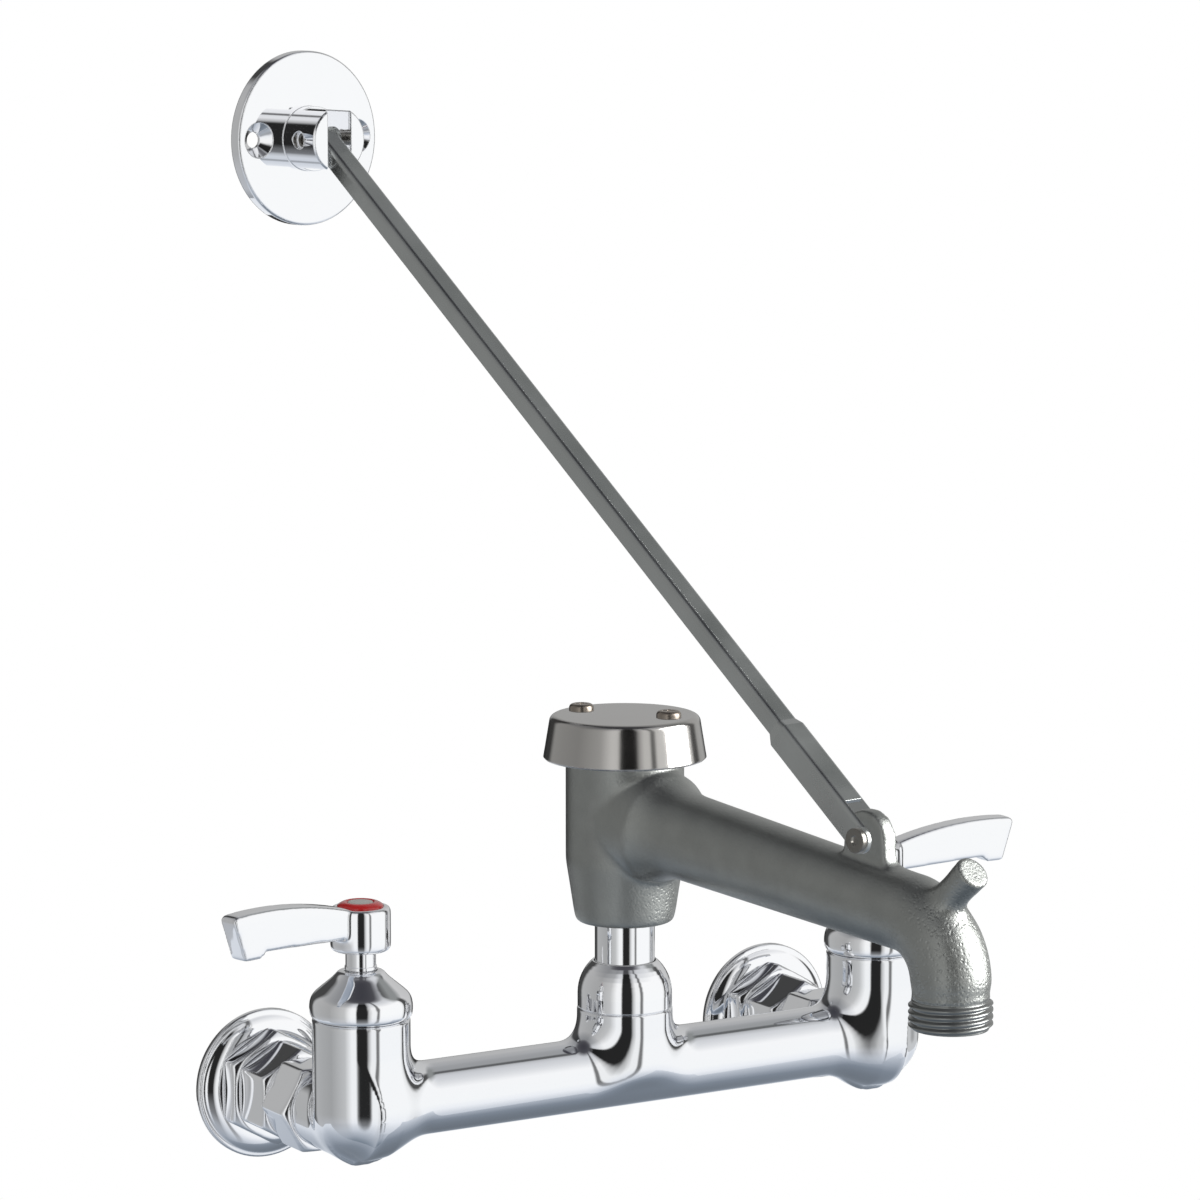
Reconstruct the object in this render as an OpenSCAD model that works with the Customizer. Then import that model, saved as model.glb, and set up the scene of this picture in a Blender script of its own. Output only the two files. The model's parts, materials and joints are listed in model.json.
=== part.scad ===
// Commercial wall faucet for a service sink, with two lever valves, a swinging
// spout with a vacuum breaker, and a brace up to a wall bracket.
// The origin is midway between the two inlets, on the wall. +X is to the right,
// the faucet stands out along -Y, and +Z is up.

/* [Body] */
// Distance between the two inlet axes
inlet_pitch = 203.2; // [196:0.1:210]
// Distance from the wall to the axes of the three towers
wall_to_axis = 70; // [66:0.5:84]
// Height of the cross tube's axis above the inlet axis
tube_rise = 6.3; // [5:0.1:7]
// Outer radius of the cross tube
tube_r = 12.2; // [11.6:0.1:13]
// Radius of the water way in the cross tube
tube_bore_r = 7; // [5:0.1:8]
// Outer radius of the three towers
tower_r = 16.2; // [15.8:0.1:17]
// Height of the end towers' tops above the tube axis
end_tower_h = 29.8; // [28:0.1:36]
// Height of the centre tower's shoulder above the tube axis
centre_tower_h = 21.9; // [20:0.1:28]
// Distance from a tower's axis to where its swell dies out in the tube
swell_reach = 24; // [20:0.5:30]

/* [Inlets] */
// Outer radius of a wall flange
flange_r = 25.7; // [23:0.1:30]
// Thickness of a wall flange at its rim
flange_rim = 3; // [2:0.1:5]
// Further rise of a wall flange towards its middle
flange_rise = 1.5; // [1:0.1:3]
// Width across the flats of the flange nut
flange_nut_af = 35; // [33:0.5:38]
// Thickness of the flange nut
flange_nut_t = 7.5; // [5:0.1:9]
// Width across the flats of the inlet union
union_af = 30; // [29:0.5:32]
// Length of the hexagon on the inlet union
union_hex_l = 17; // [12:0.1:18]
// Radius of the female thread for the supply nipple
inlet_thread_r = 10.2; // [9.5:0.05:10.6]
// Depth of the female thread for the supply nipple
inlet_thread_l = 18; // [14:0.5:20]
// Outer radius of the inlet union's shank
union_shank_r = 12.4; // [12:0.1:13.5]
// Width across the flats of the coupling nut
coupling_af = 28.6; // [28:0.1:30]
// Length of the coupling nut
coupling_l = 16; // [14:0.1:17]
// Outer radius of the tailpiece behind a tower
tail_r = 9.2; // [8.8:0.1:9.6]
// Radius of the water way in the union and the tailpiece
tail_bore_r = 7; // [5:0.1:7.4]
// Outer radius of the round neck behind a tower
inlet_neck_r = 13; // [12:0.1:13.6]

/* [Valves] */
// Largest radius of a bonnet
bonnet_r = 17.1; // [16.8:0.1:18]
// Radius of a bonnet's flat top
bonnet_top_r = 7.9; // [7.6:0.1:8.4]
// Height of a bonnet's band, where it is widest, above the tower
bonnet_band = 4.9; // [4.5:0.1:6]
// Outer radius of a valve cartridge
cartridge_r = 10.6; // [10:0.1:10.9]
// Radius of a stem
stem_r = 5; // [4.6:0.1:5.1]
// Bare length of stem between a bonnet and its handle
stem_gap = 6.4; // [3.5:0.1:9]
// Radius of the ceramic discs
disc_r = 8.5; // [8:0.1:8.7]
// Thickness of one ceramic disc
disc_t = 3; // [2.4:0.1:3.4]

/* [Handles] */
// Radius of a handle's hub
hub_r = 10; // [9.6:0.1:11]
// Height of a handle's hub
hub_h = 14.9; // [14.6:0.1:18]
// Reach of a lever from the handle axis to its tip
lever_reach = 57.7; // [50:0.1:64]
// Thickness of a lever at its hub
lever_t = 8.5; // [7:0.1:10]
// Thickness of a lever at its tip
lever_tip_t = 7.6; // [6:0.1:9]
// Height of a lever's crown above the foot of its hub
lever_crown_h = 20.3; // [19:0.1:24]
// Turn of the left lever towards the user
left_turn = 14; // [0:1:20]
// Radius of an index button
button_r = 7.6; // [6.8:0.1:8]
// Height of an index button's dome
button_dome = 1.7; // [1.2:0.1:3]

/* [Spout] */
// Turn of the spout at rest, to the right of square to the wall
spout_rest = 10; // [0:1:20]
// Reach from the neck axis to the outlet axis
spout_reach = 155; // [145:1:180]
// Outer radius of the spout's neck
neck_r = 10.16; // [9.9:0.01:10.3]
// Radius of the water way in the neck
neck_bore_r = 7.5; // [6:0.1:7.8]
// Bare length of neck between the swivel nut and the barrel
neck_gap = 13.8; // [8:0.1:20]
// Outer radius of the swivel nut
swivel_nut_r = 16; // [15.8:0.1:17]
// Height of the swivel nut
swivel_nut_h = 16; // [15:0.1:20]
// Radius of the barrel where it is straight
barrel_r = 20; // [19.6:0.1:22]
// Radius of the barrel at its foot
barrel_foot_r = 17; // [15:0.1:18]
// Height of the barrel
barrel_h = 60; // [58:0.1:66]
// Gap between the vent cap's rim and the top of the arm's swell
arm_gap = 0.7; // [0.5:0.1:3]
// Fall of the arm from the horizontal
arm_drop = 5.1; // [2:0.1:8]
// Outer radius of the arm at the barrel
arm_root_r = 14.6; // [14:0.1:15.4]
// Outer radius of the arm at the bend
arm_end_r = 12.9; // [12.7:0.1:13.4]
// Radius of the bend along its axis
bend_r = 20; // [17:0.5:24]
// Radius of the water way in the arm
arm_bore_r = 9.2; // [8:0.1:9.8]
// Outer radius of the hose thread, over its crests
hose_thread_r = 13.49; // [13.2:0.01:13.8]
// Length of the hose thread
hose_thread_l = 9.5; // [8:0.1:11]
// Outer radius of the pipe above the hose thread
pipe_r = 12.1; // [11.8:0.1:12.6]
// Length of the straight pipe from the bend to the outlet
pipe_l = 14.4; // [13:0.1:24]
// Radius of the bucket hook
hook_r = 5.7; // [5:0.1:6.5]
// Rise of the bucket hook from the horizontal
hook_lean = 43.2; // [35:0.1:50]
// Length of the bucket hook from the bend's axis
hook_l = 28.2; // [24:0.1:34]
// Distance from the neck axis to the lug's pin
lug_reach = 118; // [108:1:124]
// Height of the lug's pin above the arm's axis
lug_rise = 19.7; // [19:0.1:22]
// Outer radius of the lug about its pin
lug_r = 9.5; // [8.5:0.1:10.5]
// Thickness of the lug
lug_t = 6.4; // [5.5:0.1:6.8]

/* [Vacuum breaker] */
// Radius of the vent cap at its rim
cap_r = 27.5; // [26.5:0.1:30]
// Height of the vent cap
cap_h = 14.8; // [14:0.1:18]
// Radius of the vent cap's flat top
cap_top_r = 23.2; // [22:0.1:24]
// Wall of the vent cap
cap_wall = 2.2; // [1.8:0.1:2.6]
// Overlap of the vent cap's rim and the barrel
cap_overlap = 4.5; // [2:0.1:6]
// Distance between the two cap screws
cap_screw_pitch = 32.8; // [31:0.1:33]
// Angle from the arm to the line through the cap screws
cap_screw_angle = 22; // [0:1:90]
// Depth of the breaker's plug below the barrel's top
plug_t = 7.75; // [6:0.05:9]
// Lift of the float from its seat to the air ports
float_lift = 3; // [2:0.1:5]
// Radius of the float's disc
float_r = 13; // [12.4:0.1:13.8]

/* [Brace] */
// Length of the brace between its two pins
brace_l = 350.6; // [300:0.1:380]
// Slope of the brace at rest, from the horizontal
brace_rest = 37.2; // [32:0.1:45]
// Width of the brace's channel
brace_w = 9; // [8.4:0.1:9.6]
// Depth of the brace's channel above its pin line
brace_top = 3.6; // [3.2:0.1:4]
// Depth of the brace's channel below its pin line
brace_bottom = 2.5; // [2.2:0.1:3]
// Sheet thickness of the brace
brace_sheet = 1.5; // [1.2:0.1:1.6]
// Length of the brace's wide end from the lug's pin
fork_l = 48; // [40:1:70]
// Half depth of the wide end
fork_half = 4.5; // [4.2:0.1:4.8]
// Radius of the two hinge pins
pin_r = 2.5; // [2:0.1:2.8]

/* [Bracket] */
// Radius of the bracket's disc
bracket_r = 31; // [29.5:0.1:36]
// Thickness of the bracket's disc
bracket_t = 4.5; // [3:0.1:5]
// Radius of the bracket's boss
boss_r = 11.5; // [11.2:0.1:12.4]
// Length of the bracket's boss
boss_l = 18; // [16.4:0.1:20]
// Distance from the disc's face to the bracket's pin
boss_pin = 9; // [9:0.1:10]
// Pitch circle diameter of the two wall screws
bracket_pcd = 44; // [43:0.5:48]
// Radius of the wall screws' holes
bracket_hole_r = 2.85; // [2.2:0.01:3]

/* [Fits] */
// Radial gap of a pin or shaft that turns in its hole
running_gap = 0.06; // [0.03:0.01:0.08]
// Gap between pieces that are screwed or pressed together
seat_gap = 0.05; // [0.03:0.01:0.1]
// Gap between pieces that pass each other freely
free_gap = 0.4; // [0.3:0.05:0.5]

/* [Hidden] */
$fn = 96;
// Overrun of every cut past the face it opens
over = 1;
// Half the angle between two corners of a hexagon
corner_half = 30;
// Angle of a point that faces the axis
inward = 180;
// Steps in a rounded stretch of an outline
arc_steps = 8;
// Break of a turned edge
edge = 0.6;

// Body: heights of the tower tops, and the swells on the tube
end_top_z = tube_rise + end_tower_h;
centre_top_z = tube_rise + centre_tower_h;
swell_r = tower_r - edge;
swell_flat = 6;
riser_r = 5.5;
floor_wall = 2;
floor_z = riser_r + floor_wall;
chamber_gap = 0.9;
bonnet_thread_r = 13.4;
bonnet_thread_l = 8;
neck_thread_r = 13.8;
neck_thread_l = 9.8;
thread_top_z = centre_top_z + neck_thread_l;

// Inlet stack, measured out from the wall
flange_t = flange_rim + flange_rise;
rim_round = 1.4;
rim_turn = 75;
union_start = flange_t + flange_nut_t;
union_end = union_start + union_hex_l;
coupling_end = union_end + coupling_l;
spigot_r = 11.2;
spigot_l = 8.5;
spigot_end = union_end + spigot_l;
union_washer_t = 1.5;
tail_start = spigot_end + union_washer_t;
tail_collar_r = 11.1;
tail_collar_t = 3;
lip_start = tail_start + tail_collar_t + seat_gap;
tail_socket_l = 9;
tail_end = coupling_end + tail_socket_l - seat_gap;
nut_chamfer = 30;

// Valve stack, heights above the inlet axis
seal_t = 2;
seal_wall = 1.3;
fixed_disc_z = floor_z + seal_t;
turning_disc_z = fixed_disc_z + disc_t;
stem_z = turning_disc_z + disc_t;
stem_foot_t = 4.5;
cage_r = disc_r + running_gap;
cage_roof_t = 10.5;
cage_rise = 7.5;
cage_top_z = end_top_z + cage_rise;
cage_roof_z = cage_top_z - cage_roof_t;
window_r = 3.2;
disc_port_r = 2.4;
disc_port_share = 0.52;
bush_r = 6.8;
ring_depth = 1.5;
ring_half = 1.1;
ring_squeeze = 0.02;

// Bonnet outline: foot, belly, straight shoulder and hollow neck
bonnet_foot_r = 3.5;
bonnet_foot_turn = 37;
bonnet_belly_r = 5;
bonnet_neck_r = 3;
bonnet_slope = 50;
bonnet_neck_turn = 10;
bonnet_lip = 0.3;
belly_z = end_top_z + bonnet_band;
shoulder_r = bonnet_r - bonnet_belly_r * (1 - cos(bonnet_slope));
shoulder_z = belly_z + bonnet_belly_r * sin(bonnet_slope);
hollow_r = bonnet_top_r + bonnet_neck_r * cos(bonnet_neck_turn);
shoulder_run = (shoulder_r - hollow_r + bonnet_neck_r * cos(bonnet_slope)) / tan(bonnet_slope);
hollow_z = shoulder_z + shoulder_run + bonnet_neck_r * sin(bonnet_slope);
bonnet_top_z = hollow_z - bonnet_neck_r * sin(bonnet_neck_turn) + bonnet_lip;
bush_drop = 3;
bush_top_z = bonnet_top_z - bush_drop;
groove_z = (cage_roof_z + bush_top_z) / 2;
stem_collar_rise = 0.3;
stem_collar_r = stem_r + stem_collar_rise;
stem_collar_t = 1.2;
stem_collar_gap = 0.2;

// Handles
hub_z = bonnet_top_z + stem_gap;
hub_foot_round = 1.5;
hub_top_round = 1;
square_w = 6.8;
square_rise = 3.2;
square_l = 5.4;
screw_shank_r = 2.4;
screw_head_r = 4.3;
screw_head_t = 2.2;
screw_l = 10;
screw_floor = 1.6;
button_seat = 1.9;
square_z = hub_z + square_rise;
square_top_z = square_z + square_l;
screw_seat_z = square_top_z + screw_floor;
hub_top_z = hub_z + hub_h;
lever_crown_r = 138;
lever_crown_back = 13.2;
lever_edge = 1.2;
lever_root_rise = 5.3;
lever_under_rise = 1.3;
lever_pad = 2.1;
lever_pad_l = 6;
lever_pad_run = 2.7;
lever_slant = 4.7;
lever_nose = 2;
lever_root_gap = 1.2;

// Neck, heights above the inlet axis
neck_foot_z = tube_rise + tube_bore_r + edge;
collar_r = 12.4;
collar_t = 2.4;
collar_seat = 2.8;
counter_r = 12.6;
collar_z = centre_top_z + collar_seat + seat_gap;
washer_z = collar_z + collar_t + seat_gap;
neck_ring_first = 3;
neck_ring_pitch = 5.5;
neck_ring_z = [neck_foot_z + neck_ring_first, neck_foot_z + neck_ring_first + neck_ring_pitch];
swivel_nut_top_z = centre_top_z + swivel_nut_h;
swivel_nut_lip = 5;
swivel_nut_wall = 4.8;

// Barrel, arm and outlet
barrel_z = swivel_nut_top_z + neck_gap;
barrel_top_z = barrel_z + barrel_h;
cap_z = barrel_top_z - cap_overlap;
barrel_taper_h = 21;
barrel_foot_round = 2;
neck_socket = 12;
neck_top_z = barrel_z + neck_socket;
chamber_floor = 6;
chamber_z = neck_top_z + chamber_floor;
chamber_r = 15.5;
arm_swell_r = 19;
arm_swell_near = 20;
arm_swell_far = 34;
arm_z = cap_z - arm_gap - arm_swell_r;
bend_z = arm_z - (spout_reach - bend_r) * tan(arm_drop) - bend_r / cos(arm_drop);
arm_l = (spout_reach - bend_r) / cos(arm_drop) + bend_r * tan(arm_drop);
outlet_z = bend_z - pipe_l;
// Step by which the bend stands out from the arm and the pipe
bend_step = 0.15;
lug_foot_z = arm_z - lug_reach * tan(arm_drop);
lug_z = lug_foot_z + lug_rise;
lug_skirt = 3.5;
lug_skirt_sink = 2;
lug_skirt_z = lug_foot_z + arm_end_r - lug_skirt_sink;
hook_at = 64;
hook_flare = 1.5;
hook_flare_l = 17;

// Vacuum breaker
seat_flange_t = 2.5;
seat_tube_r = 10;
float_t = 3;
stop_gap = 0.2;
plug_z = barrel_top_z - plug_t;
float_z = plug_z - stop_gap - float_lift - float_t;
seat_top_z = float_z - seat_gap;
float_stem_r = 3;
float_stem_l = 9;
float_guide_h = 6;
fin_t = 2;
flange_top_t = 2.4;
gasket_t = 0.8;
breaker_flange_r = 19.9;
breaker_top_z = barrel_top_z + gasket_t + flange_top_t;
air_port_r = 2.4;
air_port_ring = 8.6;
air_port_count = 6;
cap_roof_z = cap_z + cap_h - cap_wall;
cap_round = 2.3;
cap_slope = 9;
post_r = 3.4;
cap_screw_r = 1.9;
cap_screw_head_r = 4.2;
cap_screw_head_h = 2.5;
cap_screw_round = 1.4;
cap_screw_l = 7.5;
recess_w = 1;
recess_d = 1.1;

// Brace and bracket
brace_bend = 1.8;
fork_w = lug_t + 2 * free_gap + 2 * brace_sheet;
taper_l = 3;
fork_open_gap = 3.5;
fork_open_l = lug_r + fork_open_gap;
brace_end_r = 4.4;
pin_head_r = 4;
pin_head_t = 1.8;
pin_tail_t = 0.9;
socket_w = 3;
socket_d = 1.2;
slot_gap = 0.75;
slot_w = brace_w + 2 * slot_gap;
slot_floor = 4;
bracket_round = 1.2;
sink_r = 6.25;
bracket_pin_inset = 2;
brace_far_reach = lug_reach - brace_l * cos(brace_rest);
brace_far_z = lug_z + brace_l * sin(brace_rest);

// Points of a round stretch, from one angle to the other
function arc(centre, r, from, to) = [
    for (i = [0 : arc_steps])
        let (a = from + (to - from) * i / arc_steps)
            centre + r * [cos(a), sin(a)]
];

// Points [radius, run] of a hollow round from a large radius down to a small one
function flare(large_r, near, small_r, far) =
    let (
        rise = large_r - small_r,
        round = ((far - near) ^ 2 + rise ^ 2) / (2 * rise),
        sweep = asin((far - near) / round)
    ) [
        for (i = [arc_steps : -1 : 0])
            [small_r + round * (1 - cos(sweep * i / arc_steps)), far - round * sin(sweep * i / arc_steps)]
    ];

// The same points, moved along, and turned end for end
function along(points, by) = [for (p = points) [p[0], p[1] + by]];
function reversed(points, by) = [for (i = [len(points) - 1 : -1 : 0]) [points[i][0], by - points[i][1]]];

// Puts a piece that is drawn out from the wall on the inlet of one side
module at_inlet(side) {
    translate([side * inlet_pitch / 2, 0, 0])
        rotate([90, 0, 0])
            children();
}

// Puts a piece that is drawn on the Z axis on the valve of one side
module at_valve(side) {
    translate([side * inlet_pitch / 2, -wall_to_axis, 0])
        children();
}

// Puts a piece on the neck axis, turned to the spout's rest
module at_spout() {
    translate([0, -wall_to_axis, 0])
        rotate([0, 0, spout_rest])
            children();
}

// Stands a drawing of reach and height up in the spout's own plane
module side_view() {
    rotate([90, 0, -90])
        children();
}

// Ring about the Z axis
module ring(outer, inner, from, to) {
    difference() {
        translate([0, 0, from])
            cylinder(r = outer, h = to - from);
        translate([0, 0, from - over])
            cylinder(r = inner, h = to - from + 2 * over);
    }
}

// Ring of round section in a groove on a shaft
module o_ring(shaft_r, groove_r, z) {
    half = (shaft_r - groove_r) / 2;
    translate([0, 0, z])
        rotate_extrude()
            translate([groove_r + half, 0])
                circle(r = half - ring_squeeze);
}

// Hexagon with the corners of its far end turned off
module hexagon(across, length, turn) {
    corner_r = across / 2 / cos(corner_half);
    face_r = across / 2 - edge / 2;
    intersection() {
        rotate([0, 0, turn])
            cylinder(r = corner_r, h = length, $fn = 6);
        rotate_extrude()
            polygon([
                [0, 0], [corner_r + over, 0],
                [corner_r + over, length - (corner_r + over - face_r) * tan(nut_chamfer)],
                [face_r, length], [0, length]
            ]);
    }
}

// Cross tube, swollen where it meets the three towers
module cross_tube() {
    half = inlet_pitch / 2;
    swell = flare(swell_r, swell_flat, tube_r, swell_reach);
    translate([0, -wall_to_axis, tube_rise])
        rotate([0, 90, 0])
            rotate_extrude()
                polygon(concat(
                    [[0, -half], [swell_r, -half]],
                    along(swell, -half),
                    reversed(swell, 0),
                    swell,
                    reversed(swell, half),
                    [[swell_r, half], [0, half]]
                ));
}

// Tower with a round underside, about the tube's axis
module tower(x, top) {
    translate([x, -wall_to_axis, tube_rise])
        rotate_extrude()
            polygon(concat(
                arc([0, 0], tower_r, -90, -45),
                arc([0, 0], tower_r, -45, 0),
                [[tower_r, top - edge / 2], [tower_r - edge / 2, top], [0, top]]
            ));
}

// Passages of one end tower: inlet, riser, chamber and bonnet thread
module end_passages(side) {
    at_valve(side) {
        rotate([-90, 0, 0])
            cylinder(r = riser_r, h = wall_to_axis);
        cylinder(r = riser_r, h = floor_z + over);
        translate([0, 0, floor_z])
            cylinder(r = cartridge_r + chamber_gap, h = end_top_z);
        translate([0, 0, end_top_z - bonnet_thread_l])
            cylinder(r = bonnet_thread_r, h = bonnet_thread_l + over);
    }
    at_inlet(side)
        translate([0, 0, coupling_end - over])
            cylinder(r = tail_r + seat_gap, h = tail_socket_l + over);
}

module valve_body() {
    half = inlet_pitch / 2;
    color("gainsboro")
        difference() {
            union() {
                cross_tube();
                tower(-half, end_tower_h);
                tower(half, end_tower_h);
                tower(0, centre_tower_h);
                translate([0, -wall_to_axis, tube_rise])
                    cylinder(r = neck_thread_r, h = thread_top_z - tube_rise);
                for (side = [-1, 1])
                    at_valve(side)
                        rotate([-90, 0, 0])
                            cylinder(r = inlet_neck_r, h = wall_to_axis - coupling_end);
            }
            end_passages(-1);
            end_passages(1);
            translate([cartridge_r - half, -wall_to_axis, tube_rise])
                rotate([0, 90, 0])
                    cylinder(r = tube_bore_r, h = inlet_pitch - 2 * cartridge_r);
            translate([0, -wall_to_axis, tube_rise])
                cylinder(r = neck_r + running_gap, h = thread_top_z);
            translate([0, -wall_to_axis, centre_top_z + collar_seat])
                cylinder(r = counter_r, h = thread_top_z);
        }
}

module swivel_nut() {
    hole_r = neck_r + free_gap;
    dome_h = swivel_nut_h - swivel_nut_wall;
    dome_r = (dome_h ^ 2 + swivel_nut_lip ^ 2) / (2 * swivel_nut_lip);
    roof = neck_thread_l + seat_gap;
    color("gainsboro")
        translate([0, -wall_to_axis, centre_top_z])
            rotate_extrude()
                polygon(concat(
                    [[neck_thread_r + seat_gap, 0], [swivel_nut_r - edge / 2, 0], [swivel_nut_r, edge / 2]],
                    arc([swivel_nut_r - dome_r, swivel_nut_wall], dome_r, 0, asin(dome_h / dome_r)),
                    [[hole_r, swivel_nut_h], [hole_r, roof], [neck_thread_r + seat_gap, roof]]
                ));
}

module thrust_washer() {
    color("white")
        translate([0, -wall_to_axis, 0])
            ring(collar_r, neck_r + running_gap, washer_z, thread_top_z - seat_gap);
}

module wall_flange(side) {
    bore_r = union_shank_r + seat_gap;
    color("gainsboro")
        at_inlet(side)
            rotate_extrude()
                polygon(concat(
                    [[bore_r, 0], [flange_r, 0]],
                    arc([flange_r - rim_round, flange_rim - rim_round], rim_round, 0, rim_turn),
                    [[flange_nut_af / 2 + edge, flange_t], [bore_r, flange_t]]
                ));
}

module flange_nut(side) {
    color("silver")
        at_inlet(side)
            translate([0, 0, flange_t])
                difference() {
                    hexagon(flange_nut_af, flange_nut_t, corner_half);
                    translate([0, 0, -over])
                        cylinder(r = union_shank_r + seat_gap, h = flange_nut_t + 2 * over);
                }
}

module inlet_union(side) {
    color("silver")
        at_inlet(side)
            difference() {
                union() {
                    cylinder(r = union_shank_r, h = union_start + over);
                    translate([0, 0, union_start])
                        hexagon(union_af, union_hex_l, corner_half);
                    cylinder(r = spigot_r, h = spigot_end);
                }
                translate([0, 0, -over])
                    cylinder(r = tail_bore_r, h = spigot_end + 2 * over);
                translate([0, 0, -over])
                    cylinder(r = inlet_thread_r, h = inlet_thread_l + over);
            }
}

module union_washer(side) {
    color("dimgray")
        at_inlet(side)
            ring(spigot_r - edge, tail_bore_r + edge, spigot_end, tail_start);
}

module tailpiece(side) {
    color("gainsboro")
        at_inlet(side)
            difference() {
                union() {
                    translate([0, 0, tail_start])
                        cylinder(r = tail_r, h = tail_end - tail_start);
                    translate([0, 0, tail_start])
                        cylinder(r = tail_collar_r, h = tail_collar_t);
                }
                translate([0, 0, tail_start - over])
                    cylinder(r = tail_bore_r, h = tail_end - tail_start + 2 * over);
            }
}

module coupling_nut(side) {
    color("silver")
        at_inlet(side)
            difference() {
                translate([0, 0, union_end])
                    hexagon(coupling_af, coupling_l, 0);
                translate([0, 0, union_end - over])
                    cylinder(r = spigot_r + seat_gap, h = lip_start - union_end + over);
                translate([0, 0, union_end])
                    cylinder(r = tail_r + seat_gap, h = coupling_l + over);
            }
}

module bonnet(side) {
    thread_z = end_top_z - bonnet_thread_l + seat_gap;
    color("gainsboro")
        at_valve(side)
            rotate_extrude()
                polygon(concat(
                    [[cartridge_r + seat_gap, thread_z], [bonnet_thread_r - seat_gap, thread_z]],
                    [[bonnet_thread_r - seat_gap, end_top_z]],
                    arc([bonnet_r - bonnet_foot_r, end_top_z + bonnet_foot_r * sin(bonnet_foot_turn)],
                        bonnet_foot_r, -bonnet_foot_turn, 0),
                    arc([bonnet_r - bonnet_belly_r, belly_z], bonnet_belly_r, 0, bonnet_slope),
                    arc([hollow_r, hollow_z], bonnet_neck_r, inward + bonnet_slope, inward + bonnet_neck_turn),
                    [[bonnet_top_r - bonnet_lip, bonnet_top_z], [stem_r + free_gap, bonnet_top_z]],
                    [[stem_r + free_gap, bush_top_z + seat_gap], [bush_r + seat_gap, bush_top_z + seat_gap]],
                    [[bush_r + seat_gap, cage_top_z + seat_gap], [cartridge_r + seat_gap, cage_top_z + seat_gap]]
                ));
}

module cartridge(side) {
    window_z = (stem_z + stem_foot_t + cage_roof_z) / 2;
    color("darkkhaki")
        at_valve(side)
            difference() {
                union() {
                    translate([0, 0, floor_z])
                        cylinder(r = cartridge_r, h = cage_top_z - floor_z);
                    translate([0, 0, cage_roof_z])
                        cylinder(r = bush_r, h = bush_top_z - cage_roof_z);
                }
                translate([0, 0, floor_z - over])
                    cylinder(r = cage_r, h = cage_roof_z - floor_z + over);
                translate([0, 0, floor_z])
                    cylinder(r = stem_r + running_gap, h = bush_top_z);
                for (turn = [45, 135])
                    translate([0, 0, window_z])
                        rotate([90, 0, turn])
                            cylinder(r = window_r, h = 2 * (cartridge_r + over), center = true);
            }
}

module seat_seal(side) {
    color("dimgray")
        at_valve(side)
            ring(disc_r - edge / 2, disc_r - edge / 2 - seal_wall, floor_z, fixed_disc_z);
}

// Ceramic disc with its two water ports, on the Z axis
module ceramic_disc(z) {
    translate([0, 0, z])
        difference() {
            cylinder(r = disc_r, h = disc_t);
            for (way = [-1, 1])
                translate([way * disc_r * disc_port_share, 0, -over])
                    cylinder(r = disc_port_r, h = disc_t + 2 * over);
        }
}

module fixed_disc(side) {
    color("white")
        at_valve(side)
            ceramic_disc(fixed_disc_z);
}

module turning_disc(side) {
    color("ivory")
        at_valve(side)
            rotate([0, 0, 90])
                ceramic_disc(turning_disc_z);
}

module stem(side) {
    color("silver")
        at_valve(side)
            difference() {
                union() {
                    translate([0, 0, stem_z])
                        cylinder(r = disc_r - edge / 2, h = stem_foot_t);
                    translate([0, 0, stem_z])
                        cylinder(r = stem_r, h = square_z - stem_z);
                    translate([0, 0, bonnet_top_z + stem_collar_gap])
                        cylinder(r = stem_collar_r, h = stem_collar_t);
                    rotate([0, 0, side > 0 ? 0 : left_turn])
                        translate([-square_w / 2, -square_w / 2, square_z - over])
                            cube([square_w, square_w, square_l + over]);
                }
                ring(stem_r + over, stem_r - ring_depth, groove_z - ring_half, groove_z + ring_half);
                translate([0, 0, square_top_z - screw_l])
                    cylinder(r = screw_shank_r + seat_gap, h = screw_l + over);
                for (way = [-1, 1])
                    translate([0, way * disc_r * disc_port_share, stem_z - over])
                        cylinder(r = disc_port_r, h = stem_foot_t + 2 * over);
            }
}

module stem_ring(side) {
    color("dimgray")
        at_valve(side)
            o_ring(stem_r + running_gap, stem_r - ring_depth, groove_z);
}

// Side view of a lever: reach along X and height above the hub's foot along Y
module lever_side() {
    under = lever_root_rise + lever_under_rise;
    pad_end = lever_reach - lever_slant;
    pad_start = pad_end - lever_pad_l;
    polygon([
        [0, lever_root_rise], [hub_r, lever_root_rise], [pad_start - lever_pad_run, under],
        [pad_start, under - lever_pad], [pad_end, under - lever_pad],
        [lever_reach, lever_crown_h - lever_nose], [lever_reach - lever_nose, lever_crown_h], [0, lever_crown_h]
    ]);
}

// Blade of a lever: a taper in plan under a crowned top with rounded edges
module lever_blade() {
    half = lever_t / 2;
    top_r = lever_crown_r - lever_edge;
    intersection() {
        translate([0, half, 0])
            rotate([90, 0, 0])
                linear_extrude(lever_t)
                    lever_side();
        linear_extrude(lever_crown_h)
            polygon([
                [0, -half], [lever_reach, -lever_tip_t / 2], [lever_reach, lever_tip_t / 2], [0, half]
            ]);
        translate([lever_reach - lever_crown_back, 0, lever_crown_h - lever_crown_r])
            rotate([90, 0, 0])
                rotate_extrude($fn = 360)
                    polygon(concat(
                        [[lever_crown_r - lever_crown_h, -half]],
                        arc([top_r, lever_edge - half], lever_edge, -90, 0),
                        arc([top_r, half - lever_edge], lever_edge, 0, 90),
                        [[lever_crown_r - lever_crown_h, half]]
                    ));
    }
}

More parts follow.
